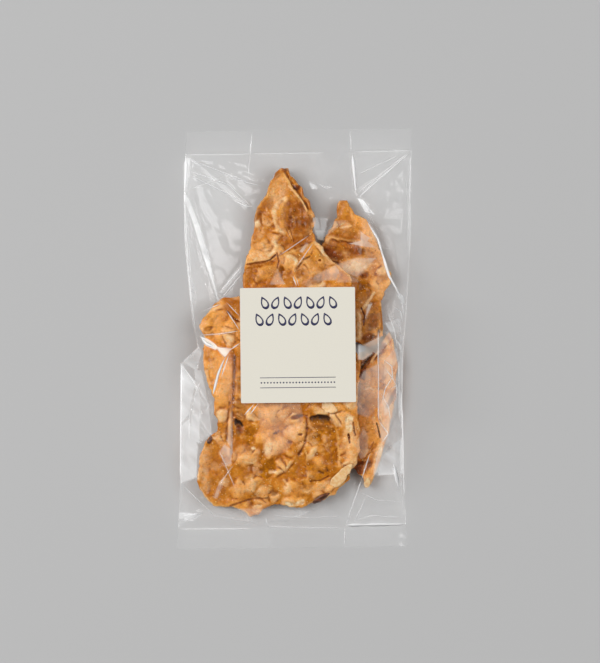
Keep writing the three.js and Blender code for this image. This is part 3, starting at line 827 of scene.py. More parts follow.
film = {
    "seal": 83.4,  # half the length between the two seal lines
    "end": 93.0,  # half the length of the bag
    "skew": 0.015,  # rise of the ends to the right, per mm across
    "bandTop": 0.45, "backHeight": 0.12,
    "sideHeight": 5.5, "sideRise": 44.0,  # of the side folds, and how far from a seal they reach it
    "sideSlope": 1.1, "sideEase": 1.6,  # steepest rise from a side fold, and over what width it starts
    "sealSlope": 1.5,  # steepest rise from a seal
    "wrapStart": 12.0, "wrapFull": 7.0,  # how near an edge of the bag it wraps the pieces' edges
    "wrapSlope": 20.0,
    "labelHeight": 18.5, "labelHalf": 26.3, "labelEase": (0.2, 3.5),
    "headroom": 0.35,  # how far it may rise over the label's height
    "clearance": 0.35,
    "paneLift": 0.5,
    "ripple": (0.35, 0.7),  # rise along the seals, and its width
    "hazeAndReflection": 0.004, "bandHaze": 0.016,
    # Where the film hangs slack its milk is painted reflection of the lamps in the crinkles.
    "slackPaintedReflection": 0.12, "slackReach": 5.0,  # where nothing lies under it, and how far off that starts
    "clingShine": 0.08, "innerShine": 0.15,  # over the contents, and of the gussets and the back
    # layers of facets: cell sizes, turn, lift and seed
    "broadFacets": (((11, 17), 24, 0.9, 5), ((8, 12), -37, 0.9, 6)),
    "fineFacets": ((3.1, 4.3), 58, 1, 7), "fineRise": 0.25,
    "crinkleFacets": (((2.6, 12), 22, 1, 12), ((3.4, 15), -16, 1, 13)),
    "crinkle": 0.7,  # rise of the small facets where it hangs slack
    "slackReflectionFacets": (((9, 21), 20, 1, 31), ((5, 13), -28, 0.9, 32)), "paneFacets": ((3, 7), 35, 1, 77),
    "columns": (200, 9, 34), "rows": (9, 346),  # across the front, each gusset layer and the back
    "leftInner": [(93, -19.6), (83, -19.6), (77.5, -21.4), (60, -19), (50, -22), (21, -34.8),
                  (4, -41), (-2.7, -42), (-6, -27), (-49.5, -26.6), (-58.4, -30.3), (-70, -22),
                  (-83, -12), (-93, -11)],
    "rightInner": [(93, 24.1), (83, 24.1), (66.4, 26.3), (58.8, 33.9), (44, 38.8), (17.4, 46.3),
                   (8.5, 46.6), (0, 41), (-3, 36.5), (-36, 36.5), (-41.4, 41), (-45, 37.4),
                   (-60.6, 27.6), (-83, 21.8), (-93, 21.4)],
}


def nodePoints(name):  # corners of a CAD node, in millimetres
    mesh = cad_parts[name].data
    flat = np.empty(len(mesh.vertices) * 3)
    mesh.vertices.foreach_get("co", flat)
    return flat.reshape(-1, 3) / mm


# The film's cross rows run parallel to its skewed ends, and each is known by its y at x = 0.
def rowOf(x, y):
    return y - film["skew"] * x


def yAt(x, row):
    return row + film["skew"] * x


# The bag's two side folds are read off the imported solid: its outermost points in each cross row. A
# new row starts wherever the sorted points jump by more than a millimetre.
def sideFolds():
    points = nodePoints("bag")
    row = rowOf(points[:, 0], points[:, 1])
    order = np.argsort(row)
    groups = np.split(order, np.flatnonzero(np.diff(row[order]) > 1) + 1)
    rows = np.array([row[group].mean() for group in groups])
    left = np.array([points[group, 0].min() for group in groups])
    right = np.array([points[group, 0].max() for group in groups])
    return rows, left, right


foldRows, foldLeft, foldRight = sideFolds()


def foldsAt(row):  # where the left and right side folds cross a row
    return np.interp(row, foldRows, foldLeft), np.interp(row, foldRows, foldRight)


def innerFold(key, row):  # where a gusset's inner fold crosses a row
    rows, xs = np.array(film[key]).T
    return np.interp(row, rows[::-1], xs[::-1])


def foldHeight(row):  # of the side folds: low at the bands and rising away from the seals
    return film["bandTop"] + film["sideHeight"] * smoothStep(0, film["sideRise"], film["seal"] - np.abs(row))


gridStep = 1.25
gridX = np.arange(-54, 54 + gridStep, gridStep)
gridY = np.arange(-86, 86 + gridStep, gridStep)


def sample(grid, x, y):  # a value between the points of the coarse grid
    u = np.clip((x - gridX[0]) / gridStep, 0, len(gridX) - 1.001)
    v = np.clip((y - gridY[0]) / gridStep, 0, len(gridY) - 1.001)
    i, j = u.astype(int), v.astype(int)
    f, g = u - i, v - j
    low = grid[j, i] * (1 - f) + grid[j, i + 1] * f
    high = grid[j + 1, i] * (1 - f) + grid[j + 1, i + 1] * f
    return low * (1 - g) + high * g


# What the film rests on: the highest piece at every point of the coarse grid.
def contentHeights():
    x, y = np.meshgrid(gridX, gridY)
    height = np.full(x.shape, film["backHeight"])
    for piece in brittlePieces:
        rim, _, top, _ = pieceAt(piece, x, y)
        height = np.where(rim > 0, np.maximum(height, top), height)
    return height


def labelDistance(x, y):  # how far outside the label's patch a point lies
    lo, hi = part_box("label")
    cx, cy = (lo[0] + hi[0]) / 2 / mm, (lo[1] + hi[1]) / 2 / mm
    ax, ay = np.abs(x - cx) - film["labelHalf"], np.abs(y - cy) - film["labelHalf"]
    return np.hypot(np.maximum(ax, 0), np.maximum(ay, 0))


def shifted(grid, di, dj):  # each point takes the value that far off, far below past the grid's edge
    rows, cols = grid.shape
    moved = np.full_like(grid, -1e3)
    toY, toX = slice(max(0, -dj), rows - max(0, dj)), slice(max(0, -di), cols - max(0, di))
    fromY, fromX = slice(max(0, dj), rows + min(0, dj)), slice(max(0, di), cols + min(0, di))
    moved[toY, toX] = grid[fromY, fromX]
    return moved


# A taut film is the lowest surface over the contents with no hollow in it: again and again every
# point rises to the mean of any two points on opposite sides of it, near and far.
def tautFilm(content):
    x, y = np.meshgrid(gridX, gridY)
    row = rowOf(x, y)
    left, right = foldsAt(row)
    inside = (x > left) & (x < right) & (np.abs(row) < film["seal"])
    edge = np.where(np.abs(row) >= film["seal"], film["bandTop"], foldHeight(row))
    height = np.where(inside, content + film["clearance"], edge)
    height = np.where(labelDistance(x, y) <= 0, film["labelHeight"], height)
    steps = [(1, 0), (0, 1), (1, 1), (1, -1), (2, 1), (1, 2), (2, -1), (1, -2)]
    for _ in range(14):
        for size in (1, 2, 4, 8):
            for di, dj in steps:
                ahead = shifted(height, di * size, dj * size)
                behind = shifted(height, -di * size, -dj * size)
                height = np.where(inside, np.maximum(height, (ahead + behind) / 2), height)
    return height


# Broad creases: from, to, rise, width left and right of the line, share of both at its two ends.
creases = [
    ((-49.4, 80), (-34.8, 20.9), 1.7, 1.8, 3.6, 1, 0.2),
    ((-48.6, 82.9), (-20.5, 77.5), 0.7, 1.2, 2.0, 0.6, 1),
    ((-48.6, 82.9), (-18.3, 73.1), 0.8, 1.5, 2.5, 0.4, 1),
    ((-48.6, 82.9), (-20.5, 58.8), 0.7, 1.2, 2.5, 0.4, 1),
    ((25, 82.9), (26.3, 66.4), 1.0, 1.2, 1.2, 0.8, 1),
    ((26.3, 66.4), (51.7, 84.2), 0.9, 1.6, 2.6, 1, 0.4),
    ((26.3, 66.4), (33.9, 58.8), 1.3, 1.6, 3.0, 0.5, 1),
    ((30.7, 59.7), (38.3, 44.1), 1.1, 1.2, 1.2, 0.6, 1),
    ((38.3, 44.1), (46.3, 17.4), 1.2, 1.2, 1.2, 1, 0.8),
    ((46.3, 17.4), (48.4, 8.5), 1.0, 1, 1, 1, 0.5),
    ((-43.2, -2.7), (-25, 2.7), 1.3, 1.1, 1.6, 0.8, 0.7),
    ((-43.2, -4.9), (-32.1, -8), 1.5, 1.4, 2.2, 0.7, 1),
    ((-32.1, -8), (-37, -25), 1.2, 1.1, 1.6, 1, 0.5),
    ((-32.1, -8), (-25.8, -2.7), 0.9, 1, 1.5, 1, 0.5),
    ((-4.9, 34.3), (7.1, 47.7), 0.8, 1, 1.5, 0.6, 1),
    ((-1.3, 29.9), (9.8, 44.1), 0.8, 1.5, 1, 0.6, 1),
    ((4, 24), (36.5, 36), 1.6, 4.5, 3.5, 0.4, 1),
    ((-16.5, -28.5), (-14, -51), 0.8, 0.9, 5.0, 0.5, 1),
    ((27.6, -60.6), (21.8, -82.9), 0.8, 1.2, 1.2, 1, 0.6),
    ((43.3, -57), (46, -66), 1.0, 1.2, 1.2, 0.4, 1),
    ((-51, -10.5), (-40, -30), 0.8, 1.5, 2, 0.6, 1),
    ((-49, -28), (-38, -45), 0.9, 1.5, 2, 0.6, 1),
    ((-51, -81), (-42, -77), 1.2, 2.0, 1.5, 0.5, 1),
]

# Flat panes, where the film clings or lies double: whitening there together with painted
# reflections and glints of the lamps. Haze at the first corner and at the corner opposite, and the
# corners of a convex outline.
panes = [
    (0.85, 0.75, [(-49.9, 65.3), (-47.3, 62.1), (-43.4, 52.1), (-45.5, 50.7), (-49.4, 61.4)]),
    (0.8, 0.8, [(-43.4, 52.1), (-39.1, 38.6), (-41.9, 38.6), (-45.5, 50.7)]),
    (0.8, 0.75, [(-39.1, 38.6), (-36.4, 27), (-38.7, 29.4), (-41.9, 38.6)]),
    (0.75, 0.7, [(-36.4, 27), (-33.8, 15.9), (-35.2, 18), (-38.7, 29.4)]),
    (0.7, 0.6, [(-49.3, 81), (-46.8, 80.5), (-48, 70), (-49.6, 64)]),
    (0.35, 0.2, [(7.4, 53.6), (9.6, 53.8), (11.2, 47.6), (8.4, 46)]),
    (0.25, 0.35, [(10.4, 53.8), (14, 53.6), (13, 47), (11.4, 46.4)]),
    (0.2, 0.14, [(11.2, 44.1), (23, 52.5), (17.1, 52.3), (14.2, 49.4)]),
    (0.4, 0.5, [(23.8, 42.2), (29.5, 43.8), (30.2, 40.8)]),
    (0.55, 0.45, [(28.4, 47.9), (32.7, 44.7), (30.5, 41), (28.6, 43.4)]),
    (0.45, 0.3, [(29.5, 43.4), (32.2, 43.3), (35.5, 40.4), (30.2, 40.8)]),
    (0.12, 0.34, [(17.1, 32.7), (25.7, 35.5), (35.7, 35.9), (27.1, 27.3), (18.9, 30.5)]),
    (0.08, 0.3, [(6, 25.4), (9.5, 28.8), (17.4, 32.6), (19.2, 30.2), (18, 26)]),
    (0.5, 0.4, [(39.4, 7), (46.2, 9.5), (46.8, 2.5), (41.6, 3)]),
    (0.4, 0.45, [(-49, -4), (-44, -1.5), (-41.5, -6), (-44, -14), (-50, -10.5)]),
    (0.35, 0.3, [(-45, -13), (-41.6, -14), (-38.4, -30), (-37, -42), (-42.4, -46), (-44.4, -27)]),
    (0.4, 0.3, [(8.4, 48), (12.6, 48.4), (12.2, 43.6), (9.8, 44)]),
    (0.5, 0.4, [(34.2, -61), (36, -50), (39, -46), (41.5, -42.6), (40, -56)]),
    (0.2, 0.24, [(-34, -75.4), (-24, -82), (-4, -81), (7, -76.4), (-8, -75.4)]),
    (0.3, 0.2, [(31, 54), (36, 46.5), (38.6, 40), (34, 46)]),
    (0.2, 0.12, [(18, 25), (19.2, 30.2), (27, 26.6), (28, 25.2)]),
    (0.1, 0.3, [(-8.3, 31.3), (-4.7, 24.1), (-11.6, 24.1)]),
    (0.5, 0.2, [(1.5, 38.6), (4.6, 42.8), (5.8, 42), (3, 38.2)]),
    (0.5, 0.4, [(33.9, 15.9), (31.8, 15.2), (30.4, 8)]),
    (1.0, 0.9, [(27, 62.6), (29.8, 61.8), (34.8, 55.2), (30.6, 56)]),
    (0.85, 0.7, [(5.6, 69.4), (8.2, 68.8), (9.6, 66.6), (7, 66.4)]),
    (0.6, 0.5, [(11, 67.6), (16.2, 67.4), (13.6, 66.4)]),
    (1.0, 0.6, [(45.2, 20.6), (47.8, 19.2), (48.6, 15.4), (46.6, 15.8)]),
    (0.1, 0.06, [(28.5, 56), (33, 52), (37.6, 39.6), (41.7, 27.3), (43.5, 20), (37.6, 13.6), (34, 23.7),
                 (30.3, 39)]),
    (1.1, 0.9, [(-36.5, -3.4), (-33.2, -6.4), (-31.6, -8.6), (-28.4, -4.2)]),
    (1.1, 0.9, [(-42.5, 1.2), (-39, 0), (-36, -2), (-34.1, -4), (-35.6, -4.8), (-40, -3)]),
    (0.1, 0.3, [(-28.2, -29), (-30.6, -45), (-28, -50)]),
    (0.3, 0.34, [(-28, -49), (-28.7, -55.4), (-30.8, -56.1), (-34.3, -50.6), (-31.6, -46.5)]),
    (0.3, 0.24, [(-32.2, -61), (-35, -66), (-36.5, -70.5), (-34.8, -70.6), (-31.8, -63)]),
    (0.14, 0.1, [(-17.1, -28.5), (2, -28.5), (3.5, -36), (-4, -50), (-13.5, -52.2), (-15.7, -40.8)]),
    (0.24, 0.34, [(36.3, 4), (47.5, 2), (47.3, -30), (47, -45), (38, -50), (36.6, -30)]),
    (0.4, 0.5, [(39, -9.6), (44.6, -3.5), (45.8, -9), (39, -17)]),
    (0.25, 0.4, [(36.6, -13), (38, -17), (38.4, -27), (45.6, -15), (45.8, -9)]),
    (0.56, 0.46, [(38.4, -27), (45.6, -15), (45.2, -24), (39.4, -35)]),
    (0.3, 0.45, [(39.4, -35), (45.2, -24), (44.4, -33), (41, -42)]),
    (0.2, 0.3, [(36.6, -16), (38.4, -27), (39.4, -35), (36.8, -36)]),
    (0.5, 0.45, [(27.6, -2.6), (33.8, -3), (34, -6.4), (29.6, -9.4), (27.4, -9)]),
    (0.5, 0.4, [(28.8, -3.2), (36.3, -7), (41, 3.2), (43, 0.5)]),
    (0.66, 0.6, [(-51.2, -11), (-44.2, -19), (-47.2, -33.5), (-51.3, -38)]),
    (0.5, 0.62, [(-43.8, -19.8), (-42, -27), (-42.8, -46.4), (-46.6, -44), (-46.6, -33.5)]),
    (0.62, 0.55, [(-51.3, -38.9), (-47.6, -35), (-43.4, -47.4), (-44, -61.5), (-51.4, -64.3)]),
    (0.16, 0.12, [(42.5, 46), (50.6, 46), (49.8, 20), (47.6, 20)]),
    (0.65, 0.6, [(38, -52), (47.4, -43), (47.8, -60), (36.2, -60.6)]),
    (0.6, 0.6, [(46.2, 2), (47.8, 2), (47.2, -44), (45.8, -30)]),
    (0.3, 0.16, [(30, -14), (36.2, -11), (36.2, -30), (32, -35), (27, -33), (27, -20)]),
    (0.2, 0.1, [(27, -34), (32, -36), (30, -39.5), (32, -50), (29, -53.4), (26.8, -50)]),
    (0.6, 0.4, [(-52, -77), (-41.2, -77.6), (-46, -81), (-52, -79.8)]),
    (0.5, 0.3, [(46.5, -86.6), (49, -87.6), (46.2, -88.2)]),
    (0.4, 0.3, [(45.8, -90.4), (49.2, -92), (46.4, -92.6)]),
    (0.25, 0.1, [(-50, 20), (-46.5, 44), (-43.6, 44), (-44, 14)]),
    (0.14, 0.22, [(-24.2, 34.6), (-34.8, 20.5), (-32, 19.6), (-23.6, 30)]),
]

# Thin whitened ridges, partly painted glints of the lamps along the creases: haze, width at the start and at
# the end, and the points they run through.
ridges = [
    (0.6, 0.8, 0.6, [(-49, 82), (-20.5, 82.4)]), (0.5, 0.6, 0.6, [(-19, 82.4), (12, 82.8)]),
    (0.5, 0.6, 0.8, [(26, 83.3), (51.3, 83.9)]), (0.5, 0.7, 0.6, [(-51.8, -84.7), (-20, -84.6)]),
    (0.3, 0.5, 0.5, [(-13, -83.6), (20, -84.2)]), (0.95, 1.3, 1.1, [(21.8, -83), (49, -82.6)]),
    (0.8, 1.8, 1.2, [(-49, 81), (-49.6, 66)]), (0.8, 1.8, 1.4, [(25, 82.6), (26.6, 64)]),
    (0.5, 0.9, 0.6, [(27.7, 62.8), (51.1, 83.4)]), (0.5, 0.7, 0.5, [(27.7, 65), (50, 83)]),
    (0.4, 0.5, 0.4, [(27.7, 73.1), (46.2, 82)]), (0.35, 0.5, 0.5, [(-48.7, 80.5), (-20.6, 69.2)]),
    (0.3, 0.5, 0.4, [(-46.9, 72.7), (-19.2, 58.9)]), (0.4, 0.4, 0.5, [(-47.6, 66.3), (-31.6, 72)]),
    (0.35, 0.5, 0.4, [(-31.6, 72), (-15.6, 67.7)]), (0.4, 0.5, 0.5, [(-19.6, 91), (-21.3, 71.3)]),
    (0.3, 0.4, 0.4, [(24.2, 92.5), (24.6, 83)]), (0.25, 0.4, 0.4, [(21.4, -92.5), (21.8, -84)]),
    (0.5, 0.6, 0.9, [(6, 69), (7.6, 66.8), (9.4, 66.3)]),
    (0.4, 0.5, 0.7, [(9.6, 68.8), (12.5, 67.4), (16.5, 67.2)]),
    (0.8, 0.7, 1.2, [(31.9, 51.4), (36.2, 44.3), (41.2, 28), (46.6, 18.4)]),
    (0.7, 1.4, 0.7, [(44.8, 20), (46.6, 16.8)]), (0.5, 0.8, 0.5, [(46.9, 17), (48.2, 9)]),
    (0.25, 0.5, 0.9, [(-42.9, 1.6), (-34, 2.2), (-25.6, 3.5)]),
    (0.6, 0.8, 0.5, [(-29, -4.8), (-24.6, -1.8)]),
    (0.85, 1.1, 2.0, [(-42.6, 1.2), (-39.6, -2), (-35.6, -4)]),
    (0.4, 0.4, 0.5, [(-24.6, 3.4), (-30.6, 12.6)]),
    (0.5, 0.5, 0.5, [(38.5, -9), (42.5, -12), (42.8, -17), (39.5, -22), (38, -29)]),
    (0.5, 0.5, 0.6, [(39.5, -13), (43, -17.5), (44.8, -21)]),
    (0.4, 0.4, 0.4, [(37.5, -24), (41, -30), (42, -37)]),
    (0.5, 0.4, 0.5, [(41.5, -22.5), (44.9, -20.5), (44.6, -26)]),
    (0.5, 0.6, 0.4, [(40.6, 12), (43.6, 4), (45, -4)]), (0.4, 0.5, 0.5, [(-34.2, 19.8), (-23.2, 33)]),
    (0.35, 0.5, 0.5, [(-33.2, 17.6), (-27.6, 24.4), (-24, 28.6)]),
    (0.4, 0.5, 0.6, [(-47, 74.6), (-30, 68.4), (-20.6, 59.4)]),
    (0.5, 0.6, 1.2, [(-28, 61.6), (-22.4, 58.8), (-19.6, 58.6)]),
    (0.3, 0.5, 0.4, [(-48.6, 55), (-47.4, 42), (-46.6, 26)]),
    (0.4, 0.4, 0.4, [(-48, 33), (-46.8, 20), (-44.6, 4)]),
    (0.35, 0.4, 0.4, [(48.6, 72), (50, 58), (49.6, 40)]), (0.4, 0.5, 0.5, [(38, 40.2), (41.4, 40)]),
    (0.45, 0.5, 0.8, [(42.6, 14.6), (46.4, 12.2), (47.4, 7)]),
    (0.35, 0.5, 0.4, [(41, 9.6), (46, 6), (47.2, 1.6)]),
    (0.35, 0.4, 0.5, [(46.4, -46), (46.8, -66), (47.8, -78)]),
    (0.3, 0.4, 0.4, [(-49.4, -66), (-36, -78.6), (-20, -81)]),
    (0.3, 0.4, 0.4, [(-10, -78.4), (4, -79.4), (20, -78.8)]),
    (0.3, 0.4, 0.4, [(28.4, -68), (36, -71.6), (46.4, -72.4)]),
    (0.35, 0.4, 0.6, [(26, -80.6), (34, -78.4), (47, -79.4)]),
    (0.85, 0.9, 1.4, [(-31.3, -8.2), (-34.4, -15.6), (-36.6, -24.5)]),
    (0.4, 0.5, 0.6, [(-29.6, -7), (-33, -17)]),
    (0.6, 1.2, 0.6, [(-22.8, -33.6), (-18.4, -28.6)]), (0.6, 0.8, 0.5, [(-20.4, -33.6), (-16.6, -28.4)]),
    (0.6, 0.7, 0.7, [(-1.4, 28), (0.2, 23.4)]), (0.5, 0.5, 0.5, [(0.2, 27), (1.2, 23.4)]),
    (0.3, 0.4, 0.4, [(5.8, 45.8), (-7.6, 36.7)]), (0.35, 0.4, 0.5, [(7.5, 42.2), (0.3, 32)]),
    (0.3, 0.5, 0.4, [(-41.7, -17.8), (-44, -22.6), (-47.3, -33.7), (-47.3, -44.8)]),
    (0.3, 0.5, 0.4, [(-51.3, -10.8), (-44, -21), (-40.6, -26.3)]),
    (0.5, 0.6, 0.8, [(-37.3, -27.8), (-39.9, -31.9)]),
    (0.25, 0.4, 0.4, [(-34, -49), (-27, -66)]), (0.25, 0.4, 0.4, [(-27.6, -55.6), (-34.6, -65.5)]),
    (0.5, 0.6, 0.6, [(45.7, -9), (45.9, -36)]), (0.5, 0.8, 1.4, [(43.6, 0.5), (46, -2.4), (47, -6.5)]),
    (0.4, 0.6, 0.6, [(36.4, 3.5), (36.5, -36)]), (0.4, 0.6, 0.6, [(36.5, -36), (41, -42), (38, -46)]),
    (0.95, 1.2, 2.4, [(43.3, -55), (45.6, -66)]), (0.5, 0.5, 0.6, [(29.1, -62.2), (22, -82.8)]),
    (0.35, 0.5, 0.5, [(32.7, -50.8), (29.1, -62.2)]), (0.3, 0.5, 0.4, [(31, -70), (25.6, -82)]),
    (0.5, 0.6, 0.5, [(-51.8, -78.6), (-41.2, -77.4)]), (0.4, 0.6, 0.6, [(-52, -81.6), (-42, -78)]),
    (0.6, 0.7, 0.7, [(-50.9, -12), (-51.4, -62)]), (0.5, 0.7, 0.7, [(-49.6, 64), (-48, 34)]),
    (0.5, 0.7, 0.7, [(47.2, -30), (48.2, -70)]), (0.5, 0.6, 0.6, [(51, 78), (50.2, 48)]),
    (0.7, 0.9, 0.9, [(-13.4, -79.6), (-12.6, -83.6)]), (0.4, 0.5, 0.5, [(35, 55.2), (31, 57.6)]),
    (0.35, 0.4, 0.4, [(-30.5, 16), (-24.4, 9.5)]), (0.3, 0.6, 0.6, [(-41, 12.4), (-33, 15.6)]),
]


# Adds the creases to the film: each is a roof along its line, with a plane slope on each side,
# whose height and widths change evenly from one end to the other and die out past the ends.
def creaseAt(x, y):
    height = np.zeros_like(x)
    for start, end, rise, left, right, first, last in creases:
        along, off, length = lineOffsets(x, y, start, end)
        share = first + (last - first) * np.clip(along / length, 0, 1)
        past = np.maximum(np.maximum(-along, along - length), 0)
        away = np.where(off > 0, off / left, -off / right) / share + past / (0.8 * share + 0.4)
        height += rise * share * np.clip(1 - away, 0, 1)
    return height


# In a pane the film is the plane that fits the film's height at its corners best.
def flattenPanes(height, x, y):
    for first, last, corners in panes:
        px, py = np.array(corners, float).T
        levels = sample(taut, px, py)
        terms = np.stack([np.ones_like(px), px, py], axis=1)
        plane = np.linalg.lstsq(terms, levels, rcond=None)[0]
        inside = depthInside(corners, x, y) > 0
        flat = plane[0] + plane[1] * x + plane[2] * y + film["paneLift"]
        height = np.where(inside, flat, height)
    return height


# How far the film is from any contents, from 0 over them to 1 well clear of them: one less the
# share of the points in a disc round each grid point that have something under them, doubled.
def slackGrid(content):
    filled = (content > film["backHeight"]).astype(float)
    steps = int(film["slackReach"] / gridStep)
    total, count = np.zeros_like(filled), 0
    for dj in range(-steps, steps + 1):
        for di in range(-steps, steps + 1):
            if math.hypot(di, dj) <= steps:
                total += np.roll(filled, (dj, di), axis=(0, 1))
                count += 1
    return np.clip(1 - 2 * total / count, 0, 1)


# Share of light that the whitened film scatters: a little everywhere, more in the seal bands,
# more where the film hangs slack and crinkled, in flat facets, as painted reflection of the lamps
# in its crinkles, and most in the panes, where it is whitening together with painted reflections
# and glints of the lamps.
def hazeAndReflectionAt(x, y):
    crinkle = 0.3 + 1.4 * twoLayers(flatGround, x, y, film["slackReflectionFacets"]) ** 2
    hazeAndReflection = film["hazeAndReflection"] + film["slackPaintedReflection"] * sample(slack, x, y) * crinkle
    band = smoothStep(-0.6, 0.4, np.abs(rowOf(x, y)) - film["seal"])
    hazeAndReflection = hazeAndReflection + (film["bandHaze"] - hazeAndReflection) * band
    for first, last, corners in panes:
        near, far = corners[0], corners[len(corners) // 2]
        along, off, length = lineOffsets(x, y, near, far)
        strength = first + (last - first) * np.clip(along / length, 0, 1)
        uneven = 0.55 + 0.9 * faceted(flatGround, x, y, *film["paneFacets"])
        inside = smoothStep(-0.25, 0.25, depthInside(corners, x, y))
        hazeAndReflection = np.maximum(hazeAndReflection, strength * uneven * inside)
    return np.minimum(hazeAndReflection, 1)


def widened(grid):  # each point takes the highest of its neighbours
    for axis in (0, 1):
        grid = np.maximum(grid, np.maximum(np.roll(grid, 1, axis), np.roll(grid, -1, axis)))
    return grid


print("stage: film")
content = contentHeights()
wrapped = widened(content)
taut = tautFilm(content)
slack = slackGrid(content)


# The lowest that the film can lie: just over the pieces. Near a side fold, or twice as near to a
# seal, it is raised to the highest of the grid points around, so it clears the pieces' edges too.
def restingAt(x, y):
    row = rowOf(x, y)
    left, right = foldsAt(row)
    toEdge = np.minimum(np.minimum(x - left, right - x), 0.5 * (film["seal"] - np.abs(row)))
    near = smoothStep(film["wrapStart"], film["wrapFull"], toEdge)
    plain = sample(content, x, y)
    return plain + (sample(wrapped, x, y) - plain) * near + film["clearance"]


# The front of the film: flat facets over the taut surface, then the creases, held above the
# contents and flat under the label. From a side fold it rises no steeper than sideSlope, except up
# the edge of a piece that lies close by, and from a seal no steeper than sealSlope. The seals
# have a low ripple, a bell across each of them.
def frontAt(x, y):
    row = rowOf(x, y)
    left, right = foldsAt(row)
    height = twoLayers(lambda px, py: sample(taut, px, py), x, y, film["broadFacets"])
    height = height + film["fineRise"] * faceted(flatGround, x, y, *film["fineFacets"])
    crinkle = twoLayers(flatGround, x, y, film["crinkleFacets"])
    height = height + film["crinkle"] * sample(slack, x, y) * crinkle
    height = flattenPanes(height, x, y) + creaseAt(x, y)
    resting = restingAt(x, y)
    height = np.maximum(height, resting)
    flat = smoothStep(*film["labelEase"], labelDistance(x, y))
    height = film["labelHeight"] + (height - film["labelHeight"]) * flat
    toSide = np.minimum(x - left, right - x)
    toSeal = np.maximum(film["seal"] - np.abs(row), 0)
    fold = foldHeight(row)
    height = np.minimum(height, np.maximum(fold + film["sideSlope"] * toSide, resting))
    height = fold + (height - fold) * smoothStep(0, film["sideEase"], toSide)
    height = np.maximum(height, np.minimum(resting, fold + film["wrapSlope"] * toSide))
    height = np.minimum(height, film["bandTop"] + film["sealSlope"] * toSeal)
    rise, width = film["ripple"]
    ripple = rise * np.exp(-((np.abs(row) - film["seal"]) / width) ** 2) * smoothNoise(x, y, 3.0, 8)
    return np.minimum(height, film["labelHeight"] + film["headroom"]) + ripple


def blurRows(values, times):
    for _ in range(times):
        padded = np.concatenate([values[:1], values, values[-1:]])
        values = (padded[:-2] + 2 * values + padded[2:]) / 4
    return values


def sharpenFolds(mesh, columns, folds):  # no shading is smoothed over a pressed fold or a cut end
    ends = np.empty(len(mesh.edges) * 2, int)
    mesh.edges.foreach_get("vertices", ends)
    ends = ends.reshape(-1, 2)
    column = ends % columns
    along = (column[:, 0] == column[:, 1]) & np.isin(column[:, 0], folds)
    across = np.all(ends < columns, axis=1) | np.all(ends >= len(mesh.vertices) - columns, axis=1)
    sharp = mesh.attributes.new("sharp_edge", "BOOLEAN", "EDGE")
    sharp.data.foreach_set("value", along | across)


